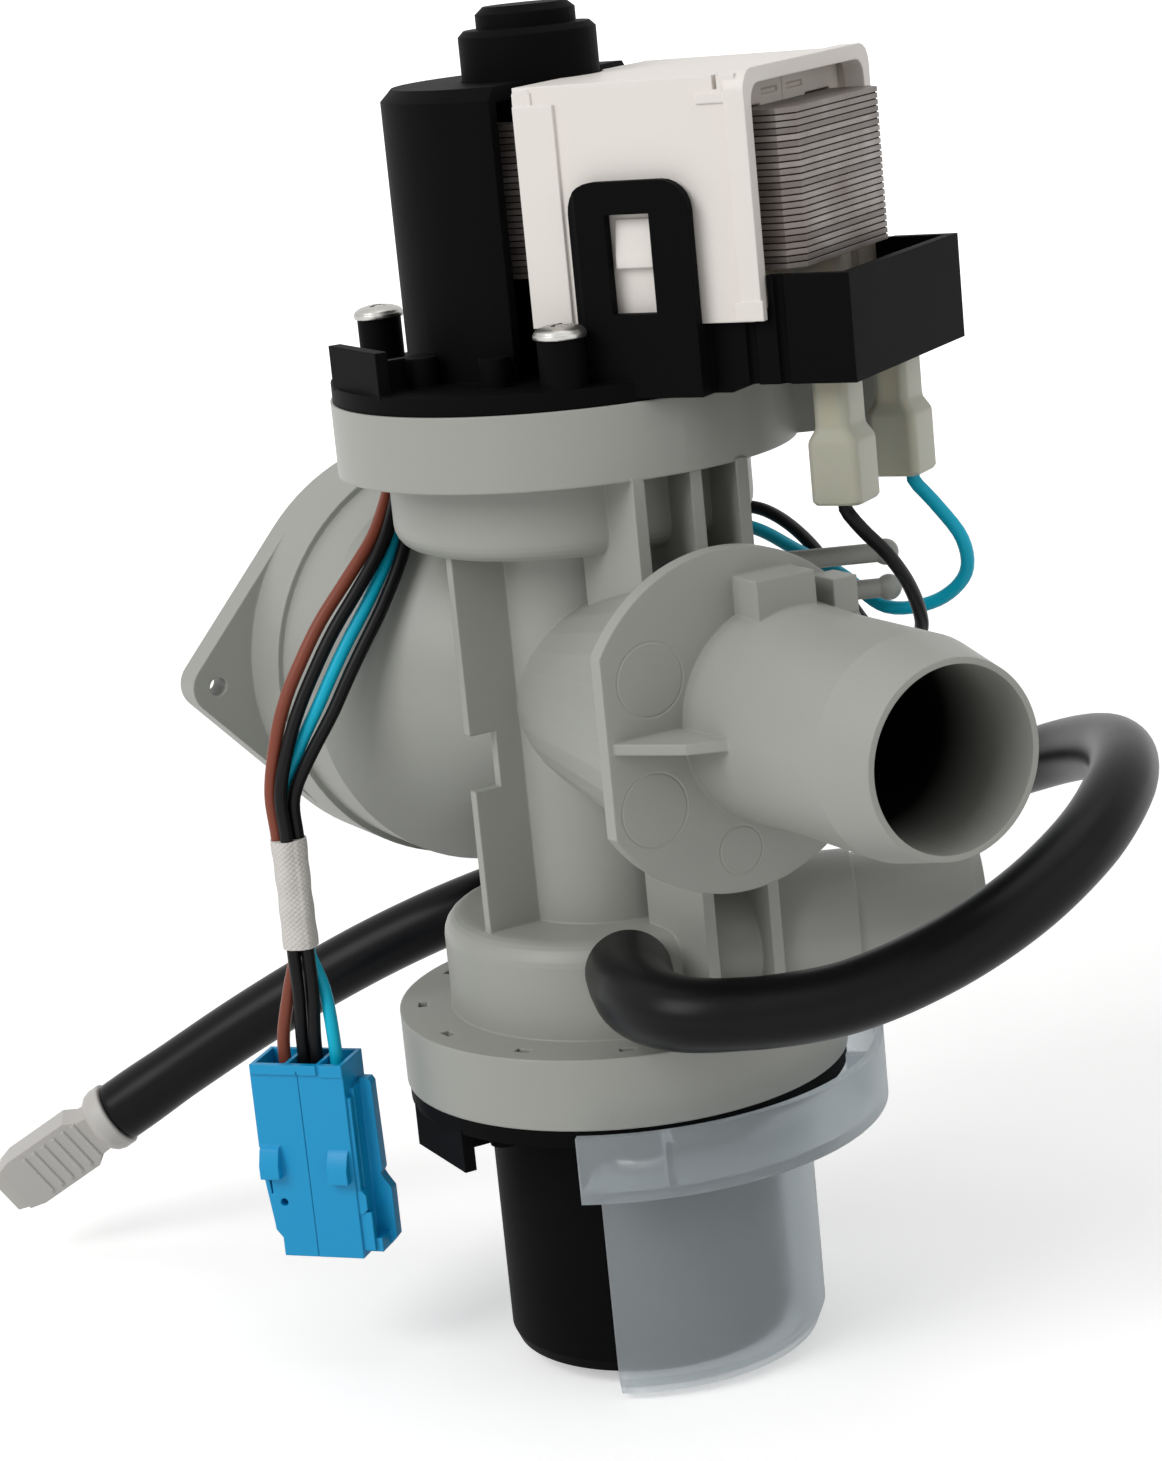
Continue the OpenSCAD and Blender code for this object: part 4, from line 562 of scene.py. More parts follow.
def carved(name, adds, cuts, bevel, segments=2, angle=30):
    """One solid from shapes that are joined and shapes that are cut away, with softened edges."""
    base = mesh_object(name, *adds[0])
    outwards(base.data)
    tools = []
    for operation, shapes in (("UNION", adds[1:]), ("DIFFERENCE", cuts)):
        for shape in shapes:
            tool = mesh_object("tool", *shape)
            outwards(tool.data)
            step = base.modifiers.new("step", "BOOLEAN")
            step.operation = operation
            step.solver = "EXACT"
            step.object = tool
            tools.append(tool)
    if tools:
        baked(base)
        for tool in tools:
            bpy.data.objects.remove(tool)
    tidy = bmesh.new()
    tidy.from_mesh(base.data)
    bmesh.ops.remove_doubles(tidy, verts=tidy.verts, dist=1e-3)
    bmesh.ops.dissolve_limit(tidy, angle_limit=math.radians(1), verts=tidy.verts, edges=tidy.edges)
    tidy.to_mesh(base.data)
    tidy.free()
    if bevel > 0:
        soften = base.modifiers.new("soften", "BEVEL")
        soften.width = bevel
        soften.segments = segments
        soften.limit_method = "ANGLE"
        soften.angle_limit = math.radians(angle)
        soften.use_clamp_overlap = True
        baked(base)
    return base


def settled(made, body, place, replaced, finish, smooth=35):
    """Puts a finished piece in its place, with its place in its mesh, and makes it ride its body
    instead of the solids that it replaces."""
    made.data.transform(place)
    made.data.shade_smooth()
    made.data.set_sharp_from_angle(angle=math.radians(smooth))
    # Large flat faces keep their own direction up to the softened edge
    flat = made.modifiers.new("flat", "WEIGHTED_NORMAL")
    flat.keep_sharp = True
    flat.weight = 100
    baked(made)
    made.data.materials.clear()
    made.data.materials.append(FINISHES[finish])
    # The stack's dark heart has no slot of its own
    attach(made, body)
    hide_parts(*replaced)


# Geometry node trees
def growing_tree(name, inputs):
    """An empty tree with a geometry input, the named inputs, and a geometry output."""
    tree = bpy.data.node_groups.new(name, "GeometryNodeTree")
    tree.interface.new_socket("Geometry", in_out="INPUT", socket_type="NodeSocketGeometry")
    for label, kind in inputs:
        tree.interface.new_socket(label, in_out="INPUT", socket_type="NodeSocket" + kind)
    tree.interface.new_socket("Geometry", in_out="OUTPUT", socket_type="NodeSocketGeometry")
    net = Net(tree)
    return tree, net, net.node("NodeGroupInput")


def closed_tree(net, start, grown):
    real = net.node("GeometryNodeRealizeInstances", {}, {"Geometry": grown})
    painted = net.node("GeometryNodeSetMaterial", {}, {"Geometry": real, "Material": start.output("Finish")})
    net.node("NodeGroupOutput", {}, {"Geometry": painted})


def copies_on_points():
    """The piece that is named, once on each point that comes in, turned alike."""
    tree, net, start = growing_tree(
        "copies_on_points", [("Piece", "Object"), ("Turn", "Vector"), ("Finish", "Material")]
    )
    named = {"Object": start.output("Piece"), "As Instance": True}
    piece = net.node("GeometryNodeObjectInfo", {}, named, out="Geometry")
    turn = net.node("FunctionNodeEulerToRotation", {}, {"Euler": start.output("Turn")})
    spread = net.node(
        "GeometryNodeInstanceOnPoints", {}, {"Points": start.output("Geometry"), "Instance": piece, "Rotation": turn}
    )
    closed_tree(net, start, spread)
    return tree


def stacked_sheets():
    """Copies of the sheet that comes in, one above the other, each a little out of line."""
    tree, net, start = growing_tree(
        "stacked_sheets",
        [("Count", "Int"), ("Pitch", "Float"), ("Wander", "Float"), ("Seed", "Int"), ("Finish", "Material")],
    )
    step = net.node("ShaderNodeCombineXYZ", {}, {"Z": start.output("Pitch")})
    line = net.node("GeometryNodeMeshLine", {}, {"Count": start.output("Count"), "Offset": step})
    low = net.node("ShaderNodeCombineXYZ", {}, {"X": 0 - start.output("Wander"), "Y": 0 - start.output("Wander")})
    high = net.node("ShaderNodeCombineXYZ", {}, {"X": start.output("Wander"), "Y": start.output("Wander")})
    wander = net.node(
        "FunctionNodeRandomValue", {"data_type": "FLOAT_VECTOR"}, {0: low, 1: high, "Seed": start.output("Seed")}
    )
    uneven = net.node("GeometryNodeSetPosition", {}, {"Geometry": line, "Offset": wander})
    spread = net.node(
        "GeometryNodeInstanceOnPoints", {}, {"Points": uneven, "Instance": start.output("Geometry")}
    )
    closed_tree(net, start, spread)
    return tree


def grown(made, tree, values):
    step = made.modifiers.new(tree.name, "NODES")
    step.node_group = tree
    for item in tree.interface.items_tree:
        if item.in_out == "INPUT" and item.name in values:
            step[item.identifier] = values[item.name]
    return baked(made)


# Routes of wires and hose
def smooth_route(points, spacing):
    """Points about a spacing apart on one smooth curve through the points given."""
    pts = [Vector(p) for p in points]
    pts = [pts[0] * 2 - pts[1]] + pts + [pts[-1] * 2 - pts[-2]]
    found = []
    for i in range(1, len(pts) - 2):
        p0, p1, p2, p3 = pts[i - 1:i + 3]
        t0 = 0.0
        t1 = t0 + max((p1 - p0).length, 1e-6) ** 0.5
        t2 = t1 + max((p2 - p1).length, 1e-6) ** 0.5
        t3 = t2 + max((p3 - p2).length, 1e-6) ** 0.5
        steps = max(1, round((p2 - p1).length / spacing))
        for k in range(steps):
            t = t1 + (t2 - t1) * k / steps
            a1 = p0 * ((t1 - t) / (t1 - t0)) + p1 * ((t - t0) / (t1 - t0))
            a2 = p1 * ((t2 - t) / (t2 - t1)) + p2 * ((t - t1) / (t2 - t1))
            a3 = p2 * ((t3 - t) / (t3 - t2)) + p3 * ((t - t2) / (t3 - t2))
            b1 = a1 * ((t2 - t) / (t2 - t0)) + a2 * ((t - t0) / (t2 - t0))
            b2 = a2 * ((t3 - t) / (t3 - t1)) + a3 * ((t - t1) / (t3 - t1))
            found.append(b1 * ((t2 - t) / (t2 - t1)) + b2 * ((t - t1) / (t2 - t1)))
    found.append(pts[-2])
    return found


def route_length(points):
    return sum((b - a).length for a, b in zip(points, points[1:]))


def carried_frames(points):
    """A direction at each point and two across it, turned as little as possible on the way."""
    frames, across = [], None
    for i in range(len(points)):
        along = (points[min(i + 1, len(points) - 1)] - points[max(i - 1, 0)]).normalized()
        if across is None:
            across = along.orthogonal()
        across = (across - along * across.dot(along)).normalized()
        frames.append((along, across, along.cross(across)))
    return frames


def skin_mesh(name, points, rings, sides):
    """A tube with its own ring of radii at each step, with a UV map round and along it in millimetres.
    rings holds (index of point, radius of a side by its angle, shift along the tube)."""
    frames = carried_frames(points)
    reach = [0.0]
    for a, b in zip(points, points[1:]):
        reach.append(reach[-1] + (b - a).length)
    tool = bmesh.new()
    uv = tool.loops.layers.uv.new("skin")
    loops = []
    for index, radius, shift in rings:
        along, across, third = frames[index]
        ring = []
        for k in range(sides):
            angle = 2 * math.pi * k / sides
            out = across * math.cos(angle) + third * math.sin(angle)
            ring.append(tool.verts.new(points[index] + along * shift + out * radius(angle)))
        loops.append((ring, reach[index] + shift))
    around = 2 * math.pi * max(rings[0][1](0.0), 0.1)
    for (low, v0), (high, v1) in zip(loops, loops[1:]):
        for k in range(sides):
            nxt = (k + 1) % sides
            face = tool.faces.new((low[k], low[nxt], high[nxt], high[k]))
            for loop, (a, b) in zip(face.loops, ((k, v0), (k + 1, v0), (k + 1, v1), (k, v1))):
                loop[uv].uv = (around * a / sides, b)
    tool.faces.new(loops[0][0][::-1])
    tool.faces.new(loops[-1][0])
    bmesh.ops.recalc_face_normals(tool, faces=tool.faces)
    mesh = bpy.data.meshes.new(name)
    tool.to_mesh(mesh)
    tool.free()
    made = bpy.data.objects.new(name, mesh)
    scene.collection.objects.link(made)
    return made


def in_metres(points):
    return [tuple(p * MM) for p in points]


def placed(foot, turn, w, t, z):
    """A place beside a foot in turned directions: w to the right, t towards the viewer, z up."""
    c, s = math.cos(turn), math.sin(turn)
    return foot + Vector((w * c + t * s, w * s - t * c, z))


def plug_at(w, t, z):
    return placed(PLUG_TOP, PLUG_TURN, w, t, z)


def tape_foot(w, t, z):
    return placed(TAPE_END, TAPE_TURN, w, t, z)


def eased(x):
    x = min(1.0, max(0.0, x))
    return x * x * (3 - 2 * x)


STRAND_R = 1.8
TWIST_END = 32.0
TWIST = math.radians(-119.4)
FAN_START, FAN_FULL, FAN_LEAVE, FAN_END = 30.0, 70.0, 78.0, 103.0
TAPE_FROM, TAPE_LEN = 105.6, 20.0


def bundled(start_angle, fan, w_plug):
    """One strand of the bundle: four side by side in the tie, a flat fan over the barrel, round again in the tape."""
    centre = smooth_route(TRUNK_ROUTE, 1.5)
    found, s = [], 0.0
    for i, p in enumerate(centre):
        s += (p - centre[i - 1]).length if i else 0.0
        along = (centre[min(i + 1, len(centre) - 1)] - centre[max(i - 1, 0)]).normalized()
        across = LOOK.cross(along).normalized()
        deep = along.cross(across)
        angle = start_angle + TWIST * eased(s / TWIST_END) + TAPE_TWIST * eased((s - TAPE_FROM) / TAPE_LEN)
        a, b = STRAND_R * math.cos(angle), STRAND_R * math.sin(angle)
        opening = eased((s - FAN_START) / (FAN_FULL - FAN_START))
        closing = eased((s - FAN_LEAVE) / (FAN_END - FAN_LEAVE))
        share = min(opening, 1 - closing)
        a, b = a + (fan[0] - a) * share, b + (fan[1] - b) * share
        found.append(p + across * a + deep * b)
    w_top = -STRAND_R * math.cos(angle)
    t_top = -STRAND_R * math.sin(angle)
    return found + [
        tape_foot(w_top, t_top, -2), tape_foot(w_top + (w_plug - w_top) * 0.5, t_top * 0.8, -8.5),
        plug_at(w_plug, 0, 3), plug_at(w_plug, 0, -6),
    ]


COPY_TREE = copies_on_points()
STACK_TREE = stacked_sheets()


def make_hose():
    """The elbow and the hose as one tube, with its bore open at the far end."""
    elbow = smooth_route(ELBOW_ROUTE, HOSE_STEP)
    path = elbow[:-1] + smooth_route(HOSE_ROUTE, HOSE_STEP)
    n = len(path)
    taper = len(elbow)
    collar, swell, bore = 1.5, 0.25, 3.3

    def skin(i):
        r = HOSE_R + collar * (1 - eased(i / taper)) + swell * eased((i - n + 12) / 8)
        return lambda angle: r

    rings = [(i, skin(i), 0.0) for i in range(n - 1)]
    rings += [(n - 1, lambda a: HOSE_R + swell, -0.5), (n - 1, lambda a: HOSE_R - 0.05, 0.0)]
    rings += [(n - 1, lambda a: bore + 0.25, 0.0), (n - 1, lambda a: bore, -0.3)]
    rings += [(n - 1 - k, lambda a: bore, 0.0) for k in range(2, 13)]
    hose = skin_mesh("drain_hose_skin", path, rings, HOSE_SIDES)
    settled(hose, "pump_body", IN_METRES, ("hose_elbow", "drain_hose"), "hose_black")
    return hose, path


def make_wire(name, route, strand, finish, replaced):
    path = smooth_route(route + strand[1:], WIRE_STEP)
    rings = [(i, lambda a: WIRE_R, 0.0) for i in range(len(path))]
    made = skin_mesh(name, path, rings, WIRE_SIDES)
    settled(made, "pump_body", IN_METRES, replaced, finish)
    return made, path


hose, hose_path = make_hose()
wires = {}
for wire_name, route, start_angle, fan, w_plug, finish, replaced in (
    ("wire_black_drain_skin", BLACK_DRAIN_ROUTE, -60.5, (-4.4, 0.0), 1.25, "wire_black",
     ("wire_black_drain", "harness_trunk", "tail_black_pair")),
    ("wire_blue_drain_skin", BLUE_DRAIN_ROUTE, -151.6, (-1.5, 0.5), 5.0, "wire_blue",
     ("wire_blue_drain", "harness_trunk", "tail_blue")),
    ("wire_brown_circ_skin", BROWN_CIRC_ROUTE, 119.4, (4.4, 0.0), -5.0, "wire_brown",
     ("wire_brown_circ", "harness_trunk", "tail_brown")),
    ("wire_black_circ_skin", BLACK_CIRC_ROUTE, 30.7, (1.5, -0.5), -1.25, "wire_black",
     ("wire_black_circ", "harness_trunk", "tail_black_pair")),
):
    strand = bundled(math.radians(start_angle), fan, w_plug)
    wires[wire_name] = make_wire(wire_name, route, strand, finish, replaced)


# Coil block of the drain motor
ON_DRAIN = Matrix.Translation(Vector((AXIS_X, 0, DRAIN_SEAT)) * MM) @ Matrix.Scale(MM, 4)
ON_BLOCK = ON_DRAIN @ Matrix.Rotation(math.radians(BLOCK_TURN), 4, "Z")
ON_CIRC = (
    Matrix.Translation(Vector((AXIS_X, 0, -CIRC_SEAT)) * MM)
    @ Matrix.Scale(MM, 4) @ Matrix.Rotation(math.pi, 4, "X")
)


def mirrored(shape):
    """The shape's mirror image across the block's middle."""
    points, faces = shape
    return [(u, -v, z) for u, v, z in points], faces


def both_sides(shapes):
    return shapes + [mirrored(shape) for shape in shapes]


# The stack's outline from the shaft outwards: arm tips, rotor bore, slot between the arms and yoke
ARM_TIP = 11
ROTOR_BORE_R = 12.25
ARM_SLOT_HALF = 9
CORE_HALF = 19
YOKE_INSIDE = 46.5
YOKE_OUTSIDE = 56
HEART_INSET = 0.22


def make_core():
    """The stack: punched sheets with thin gaps between them, over a slightly smaller dark heart."""
    def outline(inset):
        near, far = YOKE_OUTSIDE - inset, YOKE_INSIDE + inset
        half, slot, tip = CORE_HALF - inset, ARM_SLOT_HALF + inset, inset - ARM_TIP
        r = ROTOR_BORE_R + inset
        edge = math.asin(slot / r)
        arc = [edge + (math.pi / 2 - edge) * k / 8 for k in range(9)]
        ring = [(far, slot)] + [(r * math.cos(a), r * math.sin(a)) for a in arc]
        ring += [(tip, math.sqrt(r * r - tip * tip)), (tip, half)]
        ring += [(near - 2.5, half), (near, half - 2.5)]
        return ring + [(x, -y) for x, y in reversed(ring)]

    def sheet(name, inset, low, high):
        return carved(name, [prism(outline(inset), low, high, "Z")], (), 0.0)

    thick = SHEET_PITCH - SHEET_GAP
    one = sheet("core_sheet", 0.0, CORE_LOW + SHEET_GAP / 2, CORE_LOW + SHEET_GAP / 2 + thick)
    values = {"Count": SHEETS, "Pitch": SHEET_PITCH, "Wander": 0.03, "Seed": 7, "Finish": FINISHES["laminations"]}
    grown(one, STACK_TREE, values)
    one.name = "core_sheets"
    settled(one, "pump_body", ON_BLOCK, ("drain_core",), "laminations", 30)
    heart = sheet("core_heart", HEART_INSET, CORE_LOW + 0.3, CORE_LOW + CORE_H - 0.3)
    settled(heart, "pump_body", ON_BLOCK, ("drain_core",), "core_shadow", 30)


def make_coil_cover():
    """The white cover: a box open at its end, with a thick frame round the opening, strips and ledges."""
    arch = [(v, z + 32.9) for v, z in corner_box(25.2, 18.9, 3.5)]
    arch = [(v, z) if z > 20 else (math.copysign(25.2, v), 14.0) for v, z in arch]
    hole = [(v, z + 31.15) for v, z in corner_box(22.6, 18.15, 3.0)]
    adds = [box((9.6, -24.6, 12), (49.5, 24.6, 51.2)), prism(arch, 47.5, 51.2, "X")]
    adds += both_sides([
        box((9.6, -25.2, 12), (17, -24.2, 48.2)),
        prism([(9.6, 48.0), (9.6, 50.2), (10.3, 50.9), (12.4, 50.9), (13, 50.2), (13, 48.0)], -24.95, -24.2, "Y"),
        box((42.5, -25.0, 46.8), (49.5, -24.2, 48.6)),
        box((46.6, -25.5, 12.2), (51.6, -24.0, 15.4)),
    ])
    cuts = [
        box((11.1, -23.1, 11), (47.6, 23.1, 49.7)),
        prism(hole, 40, 53, "X"),
        box((40, -22.6, 8), (53, 22.6, 30)),
        moved(turned([(0, 0), (12.25, 0), (12.25, 44), (0, 44)]), (0, 0, 9)),
    ]
    cuts += both_sides([box((8, 8.8, 19.2), (12.5, 19.2, 45.2)), box((45.6, -25.6, 48.9), (46.3, -22, 53))])
    cover = carved("coil_cover", adds, cuts, 0.35, 3)
    settled(cover, "pump_body", ON_BLOCK, ("drain_coil_cover",), "cover_white")
    nub = prism([(-24.3, 29.4), (-24.9, 29.4), (-26.0, 23.2), (-26.0, 21.4), (-24.3, 21.4)], 26.3, 33.1, "X")
    nubs = carved("coil_cover_nubs", both_sides([nub]), (), 0.3, 2)
    settled(nubs, "pump_body", ON_BLOCK, ("drain_coil_cover",), "cover_white")


def make_bobbins():
    """The two bobbins: a sleeve round each arm between two flanges, whose halves meet behind the open end."""
    halves = [
        box((13.1, 0.1, 12.6), (14.3, 23.2, 49.6)),
        box((44.9, 0.1, 12.6), (46.3, 23.0, 49.6)),
        box((13.6, 7.9, 18.3), (45.6, 20.1, 46.1)),
    ]
    bore = moved(turned([(0, 0), (12.35, 0), (12.35, 50), (0, 50)]), (0, 0, 5))
    # The groove over the arm stays shallow, so that the windings do not show through it
    cuts = [box((12, 8.9, 19.3), (48, 19.1, 45.1)), box((45.9, 1.8, 46.5), (47, 8.2, 47.3)), bore]
    for name, turn_over in (("bobbin_back", lambda shape: shape), ("bobbin_front", mirrored)):
        made = carved(name, [turn_over(shape) for shape in halves], [turn_over(cut) for cut in cuts], 0.2, 2)
        settled(made, "pump_body", ON_BLOCK, ("drain_bobbins",), "nylon")


# Where the drain motor's tabs lie in the block's frame: out from the shaft, and to each side
TAB_OUT = 57.5
TAB_ASIDE = 12.3


def make_sleeve(name, side, replaced):
    """A nylon sleeve over a tab: a rounded thin shell with a bulge at the bottom, a wire hole and an open top."""
    def rings(grow, low, top):
        heights = [
            (low, 8.0, 8.8), (low + 0.6, 8.8, 9.6), (-9.5, 8.8, 9.6), (-8.8, 8.5, 9.4),
            (-7.1, 6.4, 8.6), (-6.2, 6.2, 8.4), (top, 6.2, 8.4),
        ]
        made = []
        for z, du, dv in heights:
            made.append([(u, v, z) for u, v in corner_box(du / 2 + grow, dv / 2 + grow, 1.5 + grow)])
        return lofted(made)

    shell = carved(
        name, [rings(0, -19.5, 1.5)],
        [rings(-0.75, -18.7, 2.5), moved(turned([(0, 0), (1.5, 0), (1.5, 4), (0, 4)], 20), (0, 0, -21))],
        0.12, 2, 50,
    )
    shell.data.transform(Matrix.Translation((TAB_OUT, side * TAB_ASIDE, 0)))
    settled(shell, "pump_body", ON_BLOCK, (replaced,), "sleeve_clear")


make_core()
make_coil_cover()
make_bobbins()
make_sleeve("sleeve_black_wire_shell", -1, "sleeve_black_wire")
make_sleeve("sleeve_blue_wire_shell", 1, "sleeve_blue_wire")


# Screws
SCREW_CIRCLE_R = 35.5
SCREW_ANGLES = [math.radians(angle) for angle in (-28, 92, 212)]


def make_screws():
    """Pan heads with a washer face, a domed top and a cross recess, three to a motor."""
    dome = [(0, -18)] + [(2.0, -17.5), (2.0, 0.0), (4.3, 0.0), (4.45, 0.25), (4.45, 0.8)]
    dome += [(4.3 * math.cos(a), 0.9 + 1.4 * math.sin(a)) for a in [math.radians(d) for d in range(0, 90, 12)]]
    dome += [(0, 2.3)]
    cross = [box((-2.1, -0.42, 1.1), (2.1, 0.42, 4)), box((-0.42, -2.1, 1.1), (0.42, 2.1, 4))]
    one = carved("pan_screw", [turned(dome, 32)], cross, 0.08, 1, 40)
    for name, place, top, turn, replaced in (
        ("drain_screw_heads", ON_DRAIN, 11.3, (0.0, 0.0, 0.5), "drain_screws"),
        ("circ_screw_heads", ON_CIRC, 6.0, (0.0, 0.0, 0.9), "circ_screws"),
    ):
        # The lower motor hangs in a turned frame, where its screws lie at the mirrored angles
        way = 1 if replaced == "drain_screws" else -1
        spots = [(SCREW_CIRCLE_R * math.cos(a), way * SCREW_CIRCLE_R * math.sin(a), top) for a in SCREW_ANGLES]
        made = mesh_object(name, spots, [])
        grown(made, COPY_TREE, {"Piece": one, "Turn": turn, "Finish": FINISHES["zinc_screws"]})
        settled(made, "pump_body", place, (replaced,), "zinc_screws", 40)
    bpy.data.objects.remove(one)


make_screws()


# Plug, tape and stopper
# How far the plug's side arms lie nearer its body than drawn
ARM_SHIFT = 1.3
# Turn of the stopper's grip about the hose's axis
STOPPER_ROLL = math.radians(78)
RIB_COUNT = 6
RIB_FIRST = 7.8
RIB_PITCH = 2.5


def make_plug():
    """The blue plug: body with three wire pockets, centre seam, wedge lugs, side arms and a latch wing."""
    adds = [
        prism([(-10, 0), (8, 0), (8, -34), (-7.2, -34), (-8.8, -32), (-10, -17)], -4.7, 4.7, "Y"),
        box((-7.6, -4.7, -37), (8, 4.7, -33)),
        box((-10, -5.15, -1.9), (3.0, -4.5, 0)),
        box((3.6, -4.95, -2.3), (8, -4.5, 0)),
        box((-10.7, -3.8, -16.5), (-9.8, 3.8, -1.8)),
        prism([(-9.4, -16.9), (-10.9, -17.6), (-10.7, -20.5), (-9.3, -32.4), (-8.4, -33.2), (-8.4, -31)],
              -3.6, 3.6, "Y"),
        prism([(-4.5, -15.4), (-5.6, -16.2), (-6.6, -19.0), (-6.6, -21.6), (-4.5, -21.6)], -9.8, -6.0, "X"),
        prism([(-4.5, -16.0), (-5.4, -16.8), (-6.6, -19.4), (-6.6, -22.2), (-4.5, -22.2)], 3.4, 7.4, "X"),
    ]
    arms = [
        box((7.5, -2.7, -35), (10.2, 3.7, -5)),
        box((8.0, -4.2, -24.2), (10.0, -2.9, -6.4)),
        prism([(8.2, -24), (10.2, -24), (11.0, -25), (11.0, -27.6), (10.0, -28.6), (8.2, -28.6)], -4.4, -2.6, "Y"),
        box((8.6, -4.2, -35.6), (11.6, -2.8, -28.2)),
        prism([(10.0, -4.2), (11.8, -4.2), (12.3, -5), (12.6, -21.6), (12.2, -22.4), (12.6, -23.2),
               (14.0, -25.2), (14.0, -34.6), (12.8, -36), (10.0, -36)], 0.4, 2.7, "Y"),
        box((10.0, -3.5, -36), (12.8, 1.0, -33.4)),
    ]
    cuts = [
        box((-9.2, -3.9, -6.2), (-3.5, 3.9, 1)),
        box((-2.75, -3.9, -6.2), (2.7, 3.9, 1)),
        box((3.4, -3.9, -6.2), (7.2, 3.9, 1)),
        box((-0.97, -5.4, -38), (-0.81, -4.5, -1.2)),
        moved(laid_down(turned([(0, 0), (0.75, 0), (0.75, 3), (0, 3)], 20)), (-6.5, -5.4, -26.6)),
        prism([(-9.3, -18.3), (-8.7, -18.3), (-8.5, -25.0), (-8.8, -25.0)], -5, 5, "Y"),
    ]
    cuts += [box((w - 1.7, -2.6, -38), (w + 1.7, 2.6, -29)) for w in (-5, 0, 5)]
    adds += [moved(shape, (-ARM_SHIFT, 0, 0)) for shape in arms]
    plug = carved("wire_plug", adds, cuts, 0.22, 2)
    place = Matrix.Translation(PLUG_TOP * MM) @ Matrix.Rotation(PLUG_TURN, 4, "Z") @ IN_METRES
    settled(plug, "pump_body", place, ("plug_connector",), "plug_blue")
    return plug


def make_tape():
    """The cloth tape, drawn tight over the four wires, with the step of its outer turn."""
    path = [Vector((38.6, -50, TAPE_TOP - 0.5 * k)) for k in range(TAPE_STEPS + 1)]

    def skin(i):
        turn = TAPE_TWIST * eased(i / TAPE_STEPS)
        flare = 0.06 * math.sin(i * 0.55)

        def radius(angle):
            lobes = 0.1 * math.cos(4 * (angle - turn))
            outer_turn = 0.16 if (angle - 0.4) % (2 * math.pi) < 3.6 else 0.0
            return 3.1 + lobes + outer_turn + flare
        return radius

    rings = [(i, skin(i), 0.0) for i in range(TAPE_STEPS + 1)]
    rings = [(0, lambda a: 2.2, 0.0)] + rings + [(TAPE_STEPS, lambda a: 2.2, 0.0)]
    tape = skin_mesh("wire_tape", path, rings, 64)
    settled(tape, "pump_body", IN_METRES, ("harness_tape",), "tape_grey", 60)


def hose_end_place():
    way = (Vector(HOSE_ROUTE[-1]) - Vector(HOSE_ROUTE[-2])).normalized()
    turn = Matrix.Rotation(math.atan2(way.y, way.x), 4, "Z") @ Matrix.Rotation(math.acos(way.z), 4, "Y")
    roll = Matrix.Rotation(STOPPER_ROLL, 4, "Z")
    return Matrix.Translation(Vector(HOSE_ROUTE[-1]) * MM) @ turn @ roll @ IN_METRES @ Matrix.Translation((0, 0, 0.2))


def make_stopper():
    """The transport stopper: stem, rounded collar, and a flat handle with raised grip ribs."""
    collar = [(0, -14), (2.4, -14), (3.2, -13), (3.2, 0.0), (6.5, 0.0), (6.8, 0.3), (6.8, 2.4), (6.45, 3.6),
              (5.6, 4.6), (4.6, 5.0), (0, 5.0)]
    grip = [(-4.2, 4.0), (4.2, 4.0), (4.4, 6.8), (6.0, 9.2), (6.0, 23.2), (4.4, 29.0), (-4.4, 29.0), (-6.0, 23.2),
            (-6.0, 9.2), (-4.4, 6.8)]
    adds = [turned(collar, 56), prism(grip, -3.0, 3.0, "X")]
    cuts = [
        prism([(2.2 * k, 26.4), (4 * k, 26.4), (4 * k, 31), (1.5 * k, 31)], -8, 8, "Y") for k in (-1, 1)
    ]
    stopper = carved("hose_end_stopper", adds, cuts, 0.35, 3)
    settled(stopper, "stopper", hose_end_place(), ("hose_stopper",), "stopper_white")
    rib_end = [(-0.75, -0.35), (0.75, -0.35), (0.35, 0.42), (-0.35, 0.42)]
    rib = carved("rib", [prism(rib_end, -4.7, 4.7, "Y")], (), 0.12, 2)
    for side in (-1, 1):
        spots = [(side * 3.0, 0.0, RIB_FIRST + RIB_PITCH * k) for k in range(RIB_COUNT)]
        made = mesh_object("stopper_ribs_" + ("left" if side < 0 else "right"), spots, [])
        turn = (0.0, side * math.pi / 2, 0.0)
        grown(made, COPY_TREE, {"Piece": rib, "Turn": turn, "Finish": FINISHES["stopper_white"]})
        settled(made, "stopper", hose_end_place(), ("hose_stopper",), "stopper_white")
    bpy.data.objects.remove(rib)
    return stopper


plug = make_plug()
make_tape()
stopper = make_stopper()

tuple(hose_path[0] * MM)
round(route_length(hose_path) * MM, 4)
in_metres(hose_path)
for wire, path in wires.values():
    tuple(path[0] * MM)
    round(route_length(path) * MM, 4)
    in_metres(path)


# Floor, lamps and surroundings
def seen_white(net, dim, shown):
    """Shown to the camera and in reflections, and dim for the light that falls on the object."""
    rays = net.node("ShaderNodeLightPath", out="Is Camera Ray")
    seen = (rays + rays.output("Is Glossy Ray") + rays.output("Is Transmission Ray")).clamped()
    return net.node("ShaderNodeMixShader", {}, {0: seen, 1: dim, 2: shown})


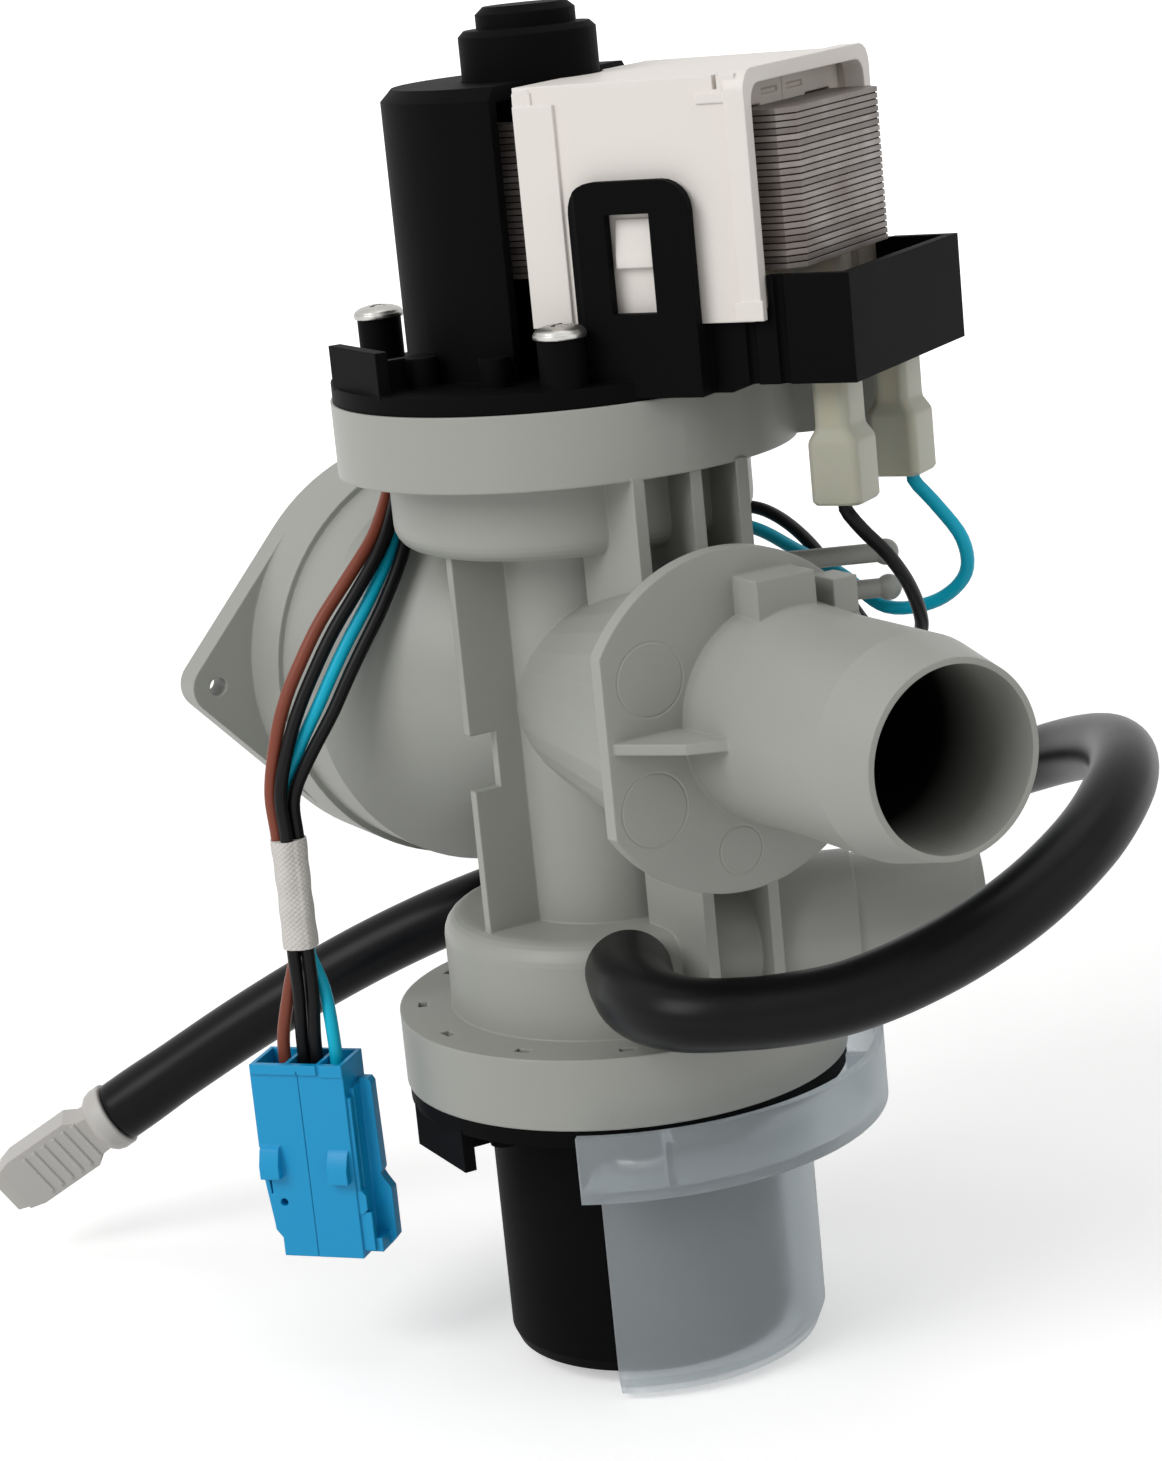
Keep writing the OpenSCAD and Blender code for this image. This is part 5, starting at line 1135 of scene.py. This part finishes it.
def make_floor():
    material, net = new_material("pale_floor")
    place = net.node("ShaderNodeTexCoord", out="Object")
    grain = net.noise(place, 30, 2.0)
    away = net.node("ShaderNodeVectorMath", {"operation": "LENGTH"}, {0: place}, out="Value")
    far = ((away - 0.3) / 0.9).clamped()
    matt = net.node("ShaderNodeBsdfDiffuse", {}, {"Color": net.blend(grain, srgb(232, 232, 231), srgb(236, 236, 235))})
    glow_tone = net.blend(far, (0.42, 0.42, 0.422, 1.0), (1.0, 1.0, 1.0, 1.0))
    glow = net.node("ShaderNodeEmission", {}, {"Color": glow_tone, "Strength": 1.0})
    both = net.node("ShaderNodeAddShader", {}, {0: matt, 1: glow})
    net.node("ShaderNodeOutputMaterial", {}, {"Surface": seen_white(net, matt, both)})
    half = 40.0
    corners = [(-half, -half, 0), (half, -half, 0), (half, half, 0), (-half, half, 0)]
    floor = mesh_object("floor", corners, [(0, 1, 2, 3)])
    floor.location = (0, 0, FLOOR_Z * MM)
    floor.data.materials.append(material)


def make_world():
    world = bpy.data.worlds.new("studio")
    scene.world = world
    world.use_nodes = True
    world.node_tree.nodes.clear()
    net = Net(world.node_tree)
    dim = net.node("ShaderNodeBackground", {}, {"Color": (1.0, 1.0, 1.0, 1.0), "Strength": 0.42})
    shown = net.node("ShaderNodeBackground", {}, {"Color": (1.0, 1.0, 1.0, 1.0), "Strength": 1.0})
    net.node("ShaderNodeOutputWorld", {}, {"Surface": seen_white(net, dim, shown)})


def make_lamp(name, place, aim, size, power):
    lamp = bpy.data.lights.new(name, "AREA")
    lamp.shape = "SQUARE"
    lamp.size = size
    lamp.energy = power
    made = bpy.data.objects.new(name, lamp)
    made.location = place
    made.rotation_euler = (Vector(aim) - Vector(place)).to_track_quat("-Z", "Y").to_euler()
    scene.collection.objects.link(made)


make_floor()
make_world()
make_lamp("key_lamp", (0.22, -1.02, 0.74), (0.06, 0, 0), 0.7, 8.6)
make_lamp("top_lamp", (0.2, 0.25, 1.25), (0.06, 0, 0), 0.9, 3.2)
make_lamp("fill_lamp", (1.1, 0.45, 0.5), (0.06, 0, 0), 0.9, 1.6)
